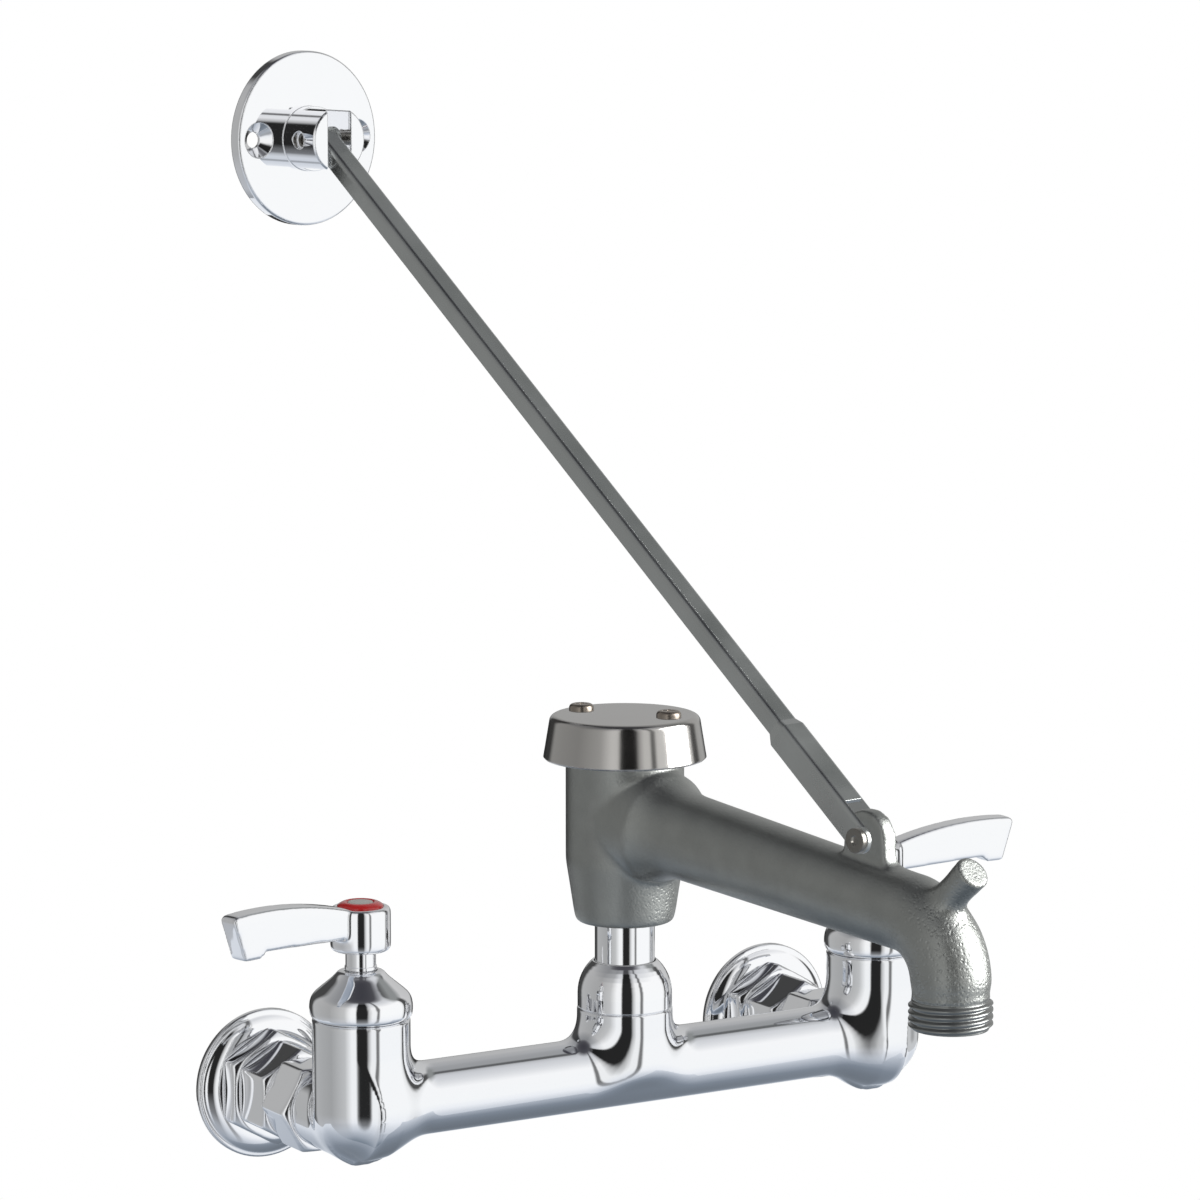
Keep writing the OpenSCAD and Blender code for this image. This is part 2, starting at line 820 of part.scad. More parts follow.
// Lever handle with its reach along X, drawn up from the foot of its hub
module lever_handle() {
    socket_w = square_w + 2 * seat_gap;
    difference() {
        union() {
            rotate_extrude()
                polygon(concat(
                    [[0, 0]],
                    arc([hub_r - hub_foot_round, hub_foot_round], hub_foot_round, -90, 0),
                    arc([hub_r - hub_top_round, hub_h - hub_top_round], hub_top_round, 0, 90),
                    [[0, hub_h]]
                ));
            lever_blade();
        }
        translate([0, 0, hub_h])
            cylinder(r = hub_r - lever_root_gap, h = lever_crown_h);
        translate([0, 0, -over])
            cylinder(r = stem_r + seat_gap, h = square_rise + over);
        translate([-socket_w / 2, -socket_w / 2, square_rise - over])
            cube([socket_w, socket_w, square_l + over + seat_gap]);
        translate([0, 0, square_rise])
            cylinder(r = screw_shank_r + free_gap, h = hub_h);
        translate([0, 0, screw_seat_z - hub_z])
            cylinder(r = screw_head_r + free_gap, h = hub_h);
        translate([0, 0, hub_h - button_seat])
            cylinder(r = button_r + seat_gap, h = hub_h);
    }
}

module handle(side) {
    color("gainsboro")
        at_valve(side)
            translate([0, 0, hub_z])
                rotate([0, 0, side > 0 ? 0 : 180 + left_turn])
                    lever_handle();
}

module handle_screw(side) {
    tip_z = square_top_z - screw_l + over;
    color("silver")
        at_valve(side)
            difference() {
                union() {
                    translate([0, 0, tip_z])
                        cylinder(r = screw_shank_r, h = screw_seat_z - tip_z + over);
                    translate([0, 0, screw_seat_z])
                        cylinder(r = screw_head_r, h = screw_head_t);
                }
                translate([-screw_head_r - over, -recess_w / 2, screw_seat_z + screw_head_t - recess_d])
                    cube([2 * (screw_head_r + over), recess_w, recess_d + over]);
            }
}

module index_button(side) {
    dome_r = (button_r ^ 2 + button_dome ^ 2) / (2 * button_dome);
    rim_z = hub_top_z + edge / 2;
    color(side > 0 ? "royalblue" : "red")
        at_valve(side)
            rotate_extrude()
                polygon(concat(
                    [[0, hub_top_z - button_seat + seat_gap], [button_r, hub_top_z - button_seat + seat_gap]],
                    arc([0, rim_z + button_dome - dome_r], dome_r, acos(button_r / dome_r), 90)
                ));
}

module spout_neck() {
    color("gainsboro")
        at_spout()
            difference() {
                union() {
                    translate([0, 0, neck_foot_z])
                        cylinder(r = neck_r, h = neck_top_z - neck_foot_z);
                    translate([0, 0, collar_z])
                        cylinder(r = collar_r, h = collar_t);
                }
                translate([0, 0, neck_foot_z - over])
                    cylinder(r = neck_bore_r, h = neck_top_z - neck_foot_z + 2 * over);
                for (z = neck_ring_z)
                    ring(neck_r + over, neck_r - ring_depth, z - ring_half, z + ring_half);
            }
}

module neck_rings() {
    color("dimgray")
        at_spout()
            for (z = neck_ring_z)
                o_ring(neck_r + running_gap, neck_r - ring_depth, z);
}

// Barrel that stands on the neck
module barrel() {
    translate([0, 0, barrel_z])
        rotate_extrude()
            polygon(concat(
                [[0, 0]],
                arc([barrel_foot_r - barrel_foot_round, barrel_foot_round], barrel_foot_round, -90, 0),
                [[barrel_r, barrel_taper_h], [barrel_r, barrel_h], [0, barrel_h]]
            ));
}

// Puts a piece drawn on the Z axis on the arm's falling axis
module at_arm() {
    side_view()
        translate([0, arm_z, 0])
            rotate([0, 90, -arm_drop])
                children();
}

// Arm from the barrel to the bend, swollen where it leaves the barrel
module arm() {
    at_arm()
        rotate_extrude()
            polygon(concat(
                [[0, 0], [arm_swell_r, 0]],
                flare(arm_swell_r, arm_swell_near, arm_root_r, arm_swell_far),
                [[arm_end_r - bend_step, arm_l + over], [0, arm_l + over]]
            ));
}

// Round section swept through the bend
module bend(r) {
    side_view()
        translate([spout_reach - bend_r, bend_z, 0])
            rotate_extrude(angle = 90 - arm_drop)
                translate([bend_r, 0])
                    circle(r = r);
}

// Straight pipe below the bend, with the hose thread's body at its end
module outlet_pipe() {
    translate([0, -spout_reach, outlet_z])
        rotate_extrude()
            polygon([
                [0, 0], [hose_thread_r - edge, 0], [hose_thread_r, edge], [hose_thread_r, hose_thread_l - edge / 2],
                [hose_thread_r - edge / 2, hose_thread_l], [pipe_r, hose_thread_l],
                [arm_end_r - bend_step, pipe_l + over], [0, pipe_l + over]
            ]);
}

// Lug for the brace's pin, standing on the arm
module lug() {
    side_view()
        translate([lug_reach, 0, -lug_t / 2])
            linear_extrude(lug_t) {
                translate([0, lug_z])
                    circle(r = lug_r);
                polygon([
                    [-lug_r, lug_z], [-lug_r, lug_skirt_z + lug_skirt], [-lug_r - lug_skirt, lug_skirt_z],
                    [-lug_r - lug_skirt, lug_foot_z], [lug_r + lug_skirt, lug_foot_z],
                    [lug_r + lug_skirt, lug_skirt_z], [lug_r, lug_skirt_z + lug_skirt], [lug_r, lug_z]
                ]);
            }
}

// Hook on the bend that a bucket's bail hangs from
module hook() {
    side_view()
        translate([spout_reach - bend_r * (1 - cos(hook_at)), bend_z + bend_r * sin(hook_at), 0])
            rotate([0, 90, hook_lean])
                rotate_extrude()
                    polygon([
                        [0, 0], [hook_r + hook_flare, 0], [hook_r, hook_flare_l],
                        [hook_r, hook_l - edge], [hook_r - edge, hook_l], [0, hook_l]
                    ]);
}

module spout_casting() {
    color("darkgray")
        at_spout()
            difference() {
                union() {
                    barrel();
                    arm();
                    bend(arm_end_r);
                    outlet_pipe();
                    lug();
                    hook();
                }
                translate([0, 0, barrel_z - over])
                    cylinder(r = neck_r + seat_gap, h = neck_socket + over);
                translate([0, 0, barrel_z])
                    cylinder(r = neck_bore_r, h = barrel_h);
                translate([0, 0, chamber_z])
                    cylinder(r = chamber_r, h = barrel_h);
                at_arm()
                    cylinder(r = arm_bore_r, h = arm_l + over);
                bend(arm_bore_r - bend_step);
                translate([0, -spout_reach, outlet_z - over])
                    cylinder(r = arm_bore_r, h = pipe_l + 2 * over);
                side_view()
                    translate([lug_reach, lug_z, 0])
                        cylinder(r = pin_r + running_gap, h = 2 * lug_t, center = true);
            }
}

module breaker_seat() {
    color("darkkhaki")
        at_spout()
            difference() {
                union() {
                    translate([0, 0, chamber_z])
                        cylinder(r = chamber_r - seat_gap, h = seat_flange_t);
                    translate([0, 0, chamber_z])
                        cylinder(r = seat_tube_r, h = seat_top_z - chamber_z);
                }
                translate([0, 0, chamber_z - over])
                    cylinder(r = neck_bore_r, h = barrel_h);
            }
}

module breaker_float() {
    fin_r = neck_bore_r - free_gap;
    color("saddlebrown")
        at_spout()
            translate([0, 0, float_z]) {
                cylinder(r = float_r, h = float_t);
                cylinder(r = float_stem_r, h = float_t + float_stem_l);
                translate([0, 0, -float_guide_h])
                    intersection() {
                        cylinder(r = fin_r, h = float_guide_h + over);
                        union() {
                            translate([-fin_r, -fin_t / 2, 0])
                                cube([2 * fin_r, fin_t, float_guide_h + over]);
                            translate([-fin_t / 2, -fin_r, 0])
                                cube([fin_t, 2 * fin_r, float_guide_h + over]);
                        }
                    }
            }
}

module breaker_gasket() {
    color("dimgray")
        at_spout()
            ring(breaker_flange_r, chamber_r, barrel_top_z, barrel_top_z + gasket_t);
}

// Puts a piece on both cap screws
module at_cap_screws() {
    rotate([0, 0, cap_screw_angle - 90])
        for (way = [-1, 1])
            translate([way * cap_screw_pitch / 2, 0, 0])
                children();
}

module breaker_bonnet() {
    color("darkkhaki")
        at_spout()
            difference() {
                union() {
                    translate([0, 0, plug_z])
                        cylinder(r = chamber_r - seat_gap, h = breaker_top_z - plug_z);
                    translate([0, 0, barrel_top_z + gasket_t])
                        cylinder(r = breaker_flange_r, h = flange_top_t);
                    at_cap_screws()
                        translate([0, 0, barrel_top_z + gasket_t])
                            cylinder(r = post_r, h = cap_roof_z - barrel_top_z - gasket_t);
                }
                translate([0, 0, plug_z - over])
                    cylinder(r = float_stem_r + running_gap, h = cap_h + barrel_h);
                for (i = [1 : air_port_count])
                    rotate([0, 0, 360 * i / air_port_count + cap_screw_angle])
                        translate([air_port_ring, 0, plug_z - over])
                            cylinder(r = air_port_r, h = breaker_top_z - plug_z + 2 * over);
                at_cap_screws()
                    translate([0, 0, cap_z + cap_h - cap_screw_l - edge])
                        cylinder(r = cap_screw_r + seat_gap, h = cap_screw_l + edge);
            }
}

module vent_cap() {
    side_z = cap_h - cap_round;
    inner_r = cap_top_r + cap_round - cap_wall;
    color("tan")
        at_spout()
            difference() {
                translate([0, 0, cap_z])
                    rotate_extrude()
                        polygon(concat(
                            [[cap_r - cap_wall, 0], [cap_r - edge, 0], [cap_r, edge]],
                            arc([cap_top_r, side_z], cap_round, cap_slope, 90),
                            [[0, cap_h], [0, cap_h - cap_wall], [inner_r - edge, cap_h - cap_wall]],
                            [[inner_r, cap_h - cap_wall - edge]]
                        ));
                at_cap_screws()
                    translate([0, 0, cap_roof_z - over])
                        cylinder(r = cap_screw_r + free_gap, h = cap_wall + 2 * over);
            }
}

module cap_screws() {
    round_z = cap_screw_head_h - cap_screw_round;
    color("rosybrown")
        at_spout()
            at_cap_screws()
                translate([0, 0, cap_z + cap_h])
                    difference() {
                        union() {
                            rotate_extrude()
                                polygon(concat(
                                    [[0, 0], [cap_screw_head_r, 0]],
                                    arc([cap_screw_head_r - cap_screw_round, round_z], cap_screw_round, 0, 90),
                                    [[0, cap_screw_head_h]]
                                ));
                            translate([0, 0, -cap_screw_l])
                                cylinder(r = cap_screw_r, h = cap_screw_l + edge);
                        }
                        for (turn = [20, 110])
                            rotate([0, 0, turn])
                                translate([-cap_screw_head_r / 2, -recess_w / 2, cap_screw_head_h - recess_d])
                                    cube([cap_screw_head_r, recess_w, recess_d + over]);
                    }
}

// Puts a piece drawn along X on the brace, with its web side towards +Y
module at_brace() {
    at_spout()
        side_view()
            translate([lug_reach, lug_z, 0])
                rotate([0, 0, 180 - brace_rest])
                    rotate([180, 0, 0])
                        children();
}

// Section of the brace: a web with rounded bends above two cheeks
function channel_points(width, top, bottom) =
    let (x = width / 2 - brace_bend, y = top - brace_bend) concat(
        [[-width / 2, -bottom]],
        arc([-x, y], brace_bend, 180, 90),
        arc([x, y], brace_bend, 90, 0),
        [[width / 2, -bottom], [width / 2 - brace_sheet, -bottom]],
        arc([x, y], brace_bend - brace_sheet, 0, 90),
        arc([-x, y], brace_bend - brace_sheet, 90, 180),
        [[brace_sheet - width / 2, -bottom]]
    );

// Straight run of channel along X
module channel(width, top, bottom, from, to) {
    translate([from, 0, 0])
        rotate([0, 90, 0])
            linear_extrude(to - from)
                polygon(channel_points(width, top, bottom));
}

// Run of channel that changes from the wide section to the narrow one
module channel_taper(from, to) {
    near = channel_points(fork_w, fork_half, fork_half);
    far = channel_points(brace_w, brace_top, brace_bottom);
    n = len(near);
    strips = [0 : n / 2 - 2];
    rotate([0, 90, 0])
        polyhedron(
            points = concat([for (p = near) [p[0], p[1], from]], [for (p = far) [p[0], p[1], to]]),
            faces = concat(
                [for (i = strips) [n - 1 - i, n - 2 - i, i + 1, i]],
                [for (i = strips) [n + i, n + i + 1, 2 * n - 2 - i, 2 * n - 1 - i]],
                [for (i = [0 : n - 1]) [i, (i + 1) % n, (i + 1) % n + n, i + n]]
            )
        );
}

// Round ends of the two cheeks about a pin
module cheek_ends(at, r, width) {
    for (way = [-1, 1])
        translate([at, 0, way * (width - brace_sheet) / 2])
            cylinder(r = r, h = brace_sheet, center = true);
}

module brace() {
    inner_w = fork_w - 2 * brace_sheet;
    color("slategray")
        at_brace()
            difference() {
                union() {
                    channel(fork_w, fork_half, fork_half, 0, fork_l);
                    channel_taper(fork_l, fork_l + taper_l);
                    channel(brace_w, brace_top, brace_bottom, fork_l + taper_l, brace_l);
                    cheek_ends(0, fork_half, fork_w);
                    cheek_ends(brace_l, brace_end_r, brace_w);
                }
                translate([-over, -fork_half, -inner_w / 2])
                    cube([fork_open_l + over, 3 * fork_half, inner_w]);
                cylinder(r = pin_r + seat_gap, h = 2 * fork_w, center = true);
                translate([brace_l, 0, 0])
                    cylinder(r = pin_r + running_gap, h = 2 * fork_w, center = true);
            }
}

module brace_pin() {
    half = fork_w / 2;
    color("silver")
        at_brace()
            difference() {
                union() {
                    cylinder(r = pin_r, h = fork_w + over, center = true);
                    translate([0, 0, -half - pin_head_t])
                        cylinder(r = pin_head_r, h = pin_head_t);
                    translate([0, 0, half])
                        cylinder(r = pin_head_r - edge, h = pin_tail_t);
                }
                translate([0, 0, -half - pin_head_t - over])
                    cylinder(r = socket_w / 2 / cos(corner_half), h = socket_d + over, $fn = 6);
            }
}

// Puts a piece drawn out from the wall on the bracket, about its pin
module at_bracket() {
    at_spout()
        translate([0, -brace_far_reach, brace_far_z])
            rotate([90, 0, 0])
                children();
}

module wall_bracket() {
    face = -boss_pin;
    boss_top = boss_l - boss_pin;
    color("whitesmoke")
        at_bracket()
            difference() {
                union() {
                    translate([0, 0, face - bracket_t])
                        rotate_extrude()
                            polygon(concat(
                                [[0, 0], [bracket_r, 0]],
                                arc([bracket_r - bracket_round, bracket_t - bracket_round], bracket_round, 0, 90),
                                [[0, bracket_t]]
                            ));
                    translate([0, 0, face - over])
                        cylinder(r = boss_r, h = boss_l + over - edge);
                    translate([0, 0, boss_top - edge])
                        cylinder(r1 = boss_r, r2 = boss_r - edge, h = edge);
                }
                translate([-slot_w / 2, -boss_r - over, face + slot_floor])
                    cube([slot_w, 2 * (boss_r + over), boss_l]);
                rotate([0, -90, 0])
                    translate([0, 0, bracket_pin_inset - boss_r])
                        cylinder(r = pin_r + seat_gap, h = 2 * boss_r);
                rotate([0, -90, 0])
                    translate([0, 0, boss_r - bracket_pin_inset])
                        cylinder(r = pin_r + edge, h = boss_r);
                for (way = [-1, 1])
                    translate([way * bracket_pcd / 2, 0, face - bracket_t]) {
                        translate([0, 0, -over])
                            cylinder(r = bracket_hole_r, h = bracket_t + 2 * over);
                        translate([0, 0, bracket_t - sink_r + bracket_hole_r])
                            cylinder(r1 = bracket_hole_r, r2 = sink_r + over, h = sink_r - bracket_hole_r + over);
                    }
            }
}

module bracket_pin() {
    l = 2 * (boss_r - bracket_pin_inset) - seat_gap;
    color("silver")
        at_bracket()
            rotate([0, -90, 0])
                difference() {
                    cylinder(r = pin_r, h = l, center = true);
                    translate([0, 0, l / 2 - socket_d])
                        cylinder(r = socket_w / 2 / cos(corner_half), h = socket_d + over, $fn = 6);
                }
}

valve_body();
swivel_nut();
thrust_washer();
wall_flange(-1);  // wall_flange_left
wall_flange(1);  // wall_flange_right
flange_nut(-1);  // flange_nut_left
flange_nut(1);  // flange_nut_right
inlet_union(-1);  // inlet_union_left
inlet_union(1);  // inlet_union_right
union_washer(-1);  // union_washer_left
union_washer(1);  // union_washer_right
tailpiece(-1);  // tailpiece_left
tailpiece(1);  // tailpiece_right
coupling_nut(-1);  // coupling_nut_left
coupling_nut(1);  // coupling_nut_right
bonnet(-1);  // bonnet_left
bonnet(1);  // bonnet_right
cartridge(-1);  // cartridge_left
cartridge(1);  // cartridge_right
seat_seal(-1);  // seat_seal_left
seat_seal(1);  // seat_seal_right
fixed_disc(-1);  // fixed_disc_left
fixed_disc(1);  // fixed_disc_right
turning_disc(-1);  // turning_disc_left
turning_disc(1);  // turning_disc_right
stem(-1);  // stem_left
stem(1);  // stem_right
stem_ring(-1);  // stem_ring_left
stem_ring(1);  // stem_ring_right
handle(-1);  // handle_left
handle(1);  // handle_right
handle_screw(-1);  // handle_screw_left
handle_screw(1);  // handle_screw_right
index_button(-1);  // index_button_left
index_button(1);  // index_button_right
spout_neck();
neck_rings();
spout_casting();
breaker_seat();
breaker_float();
breaker_gasket();
breaker_bonnet();
vent_cap();
cap_screws();
brace();
brace_pin();
wall_bracket();
bracket_pin();
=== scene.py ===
# %% [markdown]
# # A commercial wall faucet
# This notebook dresses the faucet's solid model as a studio photograph: polished chrome
# on the body, a darker sand-cast chrome on the spout, a bent steel brace and a round
# wall plate. The solids come first. They hold every real dimension, so everything that
# follows is a finish, a light or a small detail on top of them.

# %% Load the solids and keep their box
import json
import math

import bmesh
import bpy
import numpy as np
from mathutils import Matrix, Vector

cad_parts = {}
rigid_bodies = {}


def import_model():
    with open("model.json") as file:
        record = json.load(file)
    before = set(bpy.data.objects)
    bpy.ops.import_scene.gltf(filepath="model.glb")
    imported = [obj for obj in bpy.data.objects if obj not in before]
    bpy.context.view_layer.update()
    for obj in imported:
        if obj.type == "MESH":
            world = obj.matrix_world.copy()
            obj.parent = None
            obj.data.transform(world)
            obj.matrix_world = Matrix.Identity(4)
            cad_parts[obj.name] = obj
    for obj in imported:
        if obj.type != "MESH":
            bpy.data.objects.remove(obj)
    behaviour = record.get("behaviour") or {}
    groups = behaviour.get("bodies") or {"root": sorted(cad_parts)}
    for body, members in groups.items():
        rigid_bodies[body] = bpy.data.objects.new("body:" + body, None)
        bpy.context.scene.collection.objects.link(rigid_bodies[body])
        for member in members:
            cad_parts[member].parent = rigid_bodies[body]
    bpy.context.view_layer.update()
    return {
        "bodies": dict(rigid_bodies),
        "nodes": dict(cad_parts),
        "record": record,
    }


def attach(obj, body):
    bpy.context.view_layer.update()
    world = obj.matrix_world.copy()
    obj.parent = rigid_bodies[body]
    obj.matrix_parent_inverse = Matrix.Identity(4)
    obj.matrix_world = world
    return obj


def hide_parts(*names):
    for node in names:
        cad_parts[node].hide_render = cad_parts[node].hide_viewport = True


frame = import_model()
nodes = frame["nodes"]
scene = bpy.context.scene
print("solids:", len(nodes))

# %% [markdown]
# ## The camera
# A product photograph is taken from far away with a long lens, so that parallel edges
# stay nearly parallel. The camera could be placed by hand. Here it's placed by angles round
# a target point, because that's how a photographer thinks: how far round, how high, and how
# far back.

# %% Place the camera
camera_azimuth = math.radians(31.26)
camera_elevation = math.radians(8.15)
camera_distance = 1.6894
camera_target = Vector((-0.00373, -0.060, 0.16617))


def way_from_target(azimuth, elevation):
    """The direction out of the target, at this angle round it and this angle up."""
    level = math.cos(elevation)
    return Vector((-math.sin(azimuth) * level, -math.cos(azimuth) * level, math.sin(elevation)))


def stand_facing(stand, way, distance):
    """Put a camera or lamp this far out from the target, and turn it to face the target."""
    stand.location = camera_target + way * distance
    stand.rotation_euler = (-way).to_track_quat("-Z", "Y").to_euler()
    scene.collection.objects.link(stand)


camera_data = bpy.data.cameras.new("studio_camera")
camera_data.sensor_width = 36.0
camera_data.lens = 150.62
camera_data.clip_start = 0.05
camera_data.clip_end = 50.0
camera = bpy.data.objects.new("studio_camera", camera_data)
stand_facing(camera, way_from_target(camera_azimuth, camera_elevation), camera_distance)
scene.camera = camera
scene.view_settings.view_transform = "Standard"
print("camera at", [round(c, 3) for c in camera.location])

# %% [markdown]
# ## A small box of node tools
# Every finish below is a node tree. Trees can be drawn by hand in the shader editor, but a
# faucet has a dozen finishes that differ in a few numbers. A handful of helpers adds a node
# and fills its sockets in one line, so that each material reads as a short list of steps.

# %% Node helpers
def empty_tree(owner):
    """The node tree of a material or world, with nothing in it."""
    owner.use_nodes = True
    owner.node_tree.nodes.clear()
    return owner.node_tree


def add_node(tree, kind, feeds=None, **settings):
    """A new node. Each feed is a plain value for a socket, or another node's output."""
    node = tree.nodes.new(kind)
    for name, value in settings.items():
        setattr(node, name, value)
    for name, value in (feeds or {}).items():
        if isinstance(value, bpy.types.NodeSocket):
            tree.links.new(value, node.inputs[name])
        else:
            node.inputs[name].default_value = value
    return node


def calc(tree, operation, first, second):
    """One sum on two values, such as MULTIPLY or MAXIMUM."""
    return add_node(tree, "ShaderNodeMath", {0: first, 1: second}, operation=operation).outputs[0]


def mix_tones(tree, share, first, second, blend="MIX"):
    """The first tone at share 0, and the second laid over it at share 1."""
    feeds = {"Factor": share, "A": first, "B": second}
    return add_node(tree, "ShaderNodeMix", feeds, data_type="RGBA", blend_type=blend).outputs["Result"]


def map_range(tree, value, source, target):
    """The value, stretched from the source range to the target range."""
    feeds = {"Value": value}
    feeds["From Min"], feeds["From Max"] = source
    feeds["To Min"], feeds["To Max"] = target
    return add_node(tree, "ShaderNodeMapRange", feeds).outputs["Result"]


def ramp(tree, value, stops):
    """A colour ramp whose stops are (position, grey) or (position, (r, g, b))."""
    node = add_node(tree, "ShaderNodeValToRGB", {"Fac": value})
    points = node.color_ramp.elements
    while len(points) < len(stops):
        points.new(0.5)
    for point, (position, tone) in zip(points, stops):
        point.position = position
        rgb = tone if isinstance(tone, tuple) else (tone, tone, tone)
        point.color = (*rgb, 1.0)
    return node.outputs["Color"]


def noise(tree, place, scale, detail):
    feeds = {"Vector": place, "Scale": scale, "Detail": detail}
    return add_node(tree, "ShaderNodeTexNoise", feeds).outputs["Fac"]


def distance_from(tree, place, point):
    node = add_node(tree, "ShaderNodeVectorMath", {0: place, 1: point}, operation="DISTANCE")
    return node.outputs["Value"]


def ray_kinds(tree):
    """Two switches: the ray is the camera's own; it is that or one seen in metal or glass."""
    path = add_node(tree, "ShaderNodeLightPath").outputs
    own_or_metal = calc(tree, "MAXIMUM", path["Is Camera Ray"], path["Is Glossy Ray"])
    return path["Is Camera Ray"], calc(tree, "MAXIMUM", own_or_metal, path["Is Transmission Ray"])


white = (1.0, 1.0, 1.0, 1.0)
print("node helpers ready")

# %% [markdown]
# ## The studio round the faucet
# Chrome has no colour of its own. What it shows is the room: white soft boxes, grey
# walls, a dark gap where the camera stands, and the edge of the table. Real panels could be
# built round the faucet, but they would also cast shadows. The room is painted on the world
# instead, by the direction in which a reflected ray leaves. Two measures of that direction
# come first: how far round it points, and how high.

# %% Measure where a reflected ray points
world = bpy.data.worlds.new("studio")
scene.world = world
sky = empty_tree(world)
leaving = add_node(sky, "ShaderNodeTexCoord").outputs["Generated"]
to_camera_side = {"Vector": leaving, "Angle": camera_azimuth}
turned = add_node(sky, "ShaderNodeVectorRotate", to_camera_side, rotation_type="Z_AXIS")
split = add_node(sky, "ShaderNodeSeparateXYZ", {"Vector": turned.outputs["Vector"]}).outputs
# Half a turn is straight at the camera, none and a whole turn are straight behind
bearing = calc(sky, "ARCTAN2", split["X"], calc(sky, "MULTIPLY", split["Y"], -1.0))
round_share = map_range(sky, bearing, (-math.pi, math.pi), (0.0, 1.0))
height_share = map_range(sky, split["Z"], (-1.0, 1.0), (0.0, 1.0))
print("the room's own turn:", round(math.degrees(camera_azimuth), 1), "degrees")

# %% [markdown]
# ## The walls
# Going round the room, the walls change from grey card to soft box to dark gap. Each stop
# is a share of the turn and a tone, and a steep pair of stops makes a hard edge in the
# chrome. A second list of stops makes the walls darker towards the table and the ceiling.

# %% Paint the walls
wall_bands = [
    (0.00, 0.48), (0.04, 0.42), (0.06, 0.06), (0.12, 0.06), (0.15, 0.45), (0.30, 0.38),
    (0.40, 0.55), (0.445, 0.95), (0.474, 0.95), (0.482, 0.02), (0.545, 0.02), (0.556, 0.50),
    (0.578, 0.92), (0.602, 0.92), (0.609, 0.20), (0.621, 0.20), (0.632, 1.0), (0.79, 1.0),
    (0.81, 0.85), (0.82, 0.08), (0.85, 0.08), (0.87, 0.60), (0.96, 0.55), (1.00, 0.48),
]
wall_heights = [
    (0.00, (0.16, 0.19, 0.23)), (0.07, (0.37, 0.41, 0.47)), (0.16, (0.62, 0.66, 0.72)),
    (0.29, (0.92, 0.94, 0.97)), (0.41, (0.99, 1.0, 1.0)), (0.74, (1.0, 1.0, 1.0)),
    (0.88, (0.72, 0.73, 0.75)), (1.00, (0.50, 0.51, 0.54)),
]
round_the_room = ramp(sky, round_share, wall_bands)
up_the_walls = ramp(sky, height_share, wall_heights)
walls = mix_tones(sky, 1.0, round_the_room, up_the_walls, "MULTIPLY")
print("wall stops round the room:", len(wall_bands))

# %% [markdown]
# ## The ceiling and the table
# High up and low down the walls end. The ceiling is dark, and the table is a cool grey that
# lightens towards its far edge. One ramp says how much of the walls is left at each height.

# %% Paint the ceiling and the table
far_tones = [
    (0.00, (0.16, 0.19, 0.23)), (0.03, (0.22, 0.26, 0.31)), (0.07, (0.37, 0.41, 0.47)),
    (0.16, (0.62, 0.66, 0.72)), (0.30, (0.87, 0.89, 0.93)), (0.60, (0.90, 0.91, 0.93)),
    (0.90, (0.66, 0.67, 0.69)), (0.955, (0.10, 0.10, 0.11)), (1.00, (0.05, 0.05, 0.06)),
]
walls_left_stops = [(0.06, 0.0), (0.24, 0.75), (0.38, 1.0), (0.93, 1.0), (0.975, 0.0)]
walls_left = ramp(sky, height_share, walls_left_stops)
studio = mix_tones(sky, walls_left, ramp(sky, height_share, far_tones), walls)
print("heights from table to ceiling:", len(far_tones))

# %% [markdown]
# ## Dark lines and a grey flag
# A tube's outermost edge mirrors what is straight behind it. Product photographers stand
# black card there, so that a thin dark line separates chrome from the white background.
# They also hang a grey flag, a small sheet of cloth, high on the right, and it dulls the
# brace's upper face.

# %% Stand the black card and hang the flag
behind_stops = [(0.00, 0.06), (0.045, 0.08), (0.085, 1.0), (0.915, 1.0), (0.955, 0.08), (1.00, 0.06)]
low_down_stops = [(0.10, 0.0), (0.20, 1.0), (0.475, 1.0), (0.505, 0.0)]
low_down = ramp(sky, height_share, low_down_stops)
outlined = mix_tones(sky, low_down, studio, ramp(sky, round_share, behind_stops), "MULTIPLY")

flag_grey = (0.27, 0.28, 0.28, 1.0)
flag_round = ramp(sky, round_share, [(0.76, 0.0), (0.82, 1.0), (0.89, 1.0), (0.95, 0.0)])
flag_high = ramp(sky, height_share, [(0.75, 0.0), (0.82, 1.0), (0.88, 1.0), (0.95, 0.0)])
flagged = mix_tones(sky, calc(sky, "MULTIPLY", flag_round, flag_high), outlined, flag_grey)
print("flag tone:", flag_grey[:3])

# %% [markdown]
# ## Who sees the room
# The camera sees plain white, as on a catalogue page. Metal sees the painted room at full
# strength, and matt surfaces are lit by it a little less, so that they keep their colour.

# %% Send the room to metal and white to the camera
room_light = 0.9
own_ray, looked_at = ray_kinds(sky)
matt_room = add_node(sky, "ShaderNodeBackground", {"Color": flagged, "Strength": room_light})
seen_tone = mix_tones(sky, own_ray, flagged, white)
seen_room = add_node(sky, "ShaderNodeBackground", {"Color": seen_tone, "Strength": 1.0})
chosen = add_node(sky, "ShaderNodeMixShader", {
    "Fac": looked_at, 1: matt_room.outputs["Background"], 2: seen_room.outputs["Background"],
})
add_node(sky, "ShaderNodeOutputWorld", {"Surface": chosen.outputs["Shader"]})
print("room nodes:", len(sky.nodes))

# %% [markdown]
# ## The lamps
# A soft box overhead lights what isn't metal and gives the floor its soft shadow. Polished
# metal would show it as a hard white shape, so it stays out of the mirror images. The rough
# spout was lit on its own in the photograph, from the right, so its soft box falls on the
# spout's pieces alone, and the body doesn't mirror the spout.

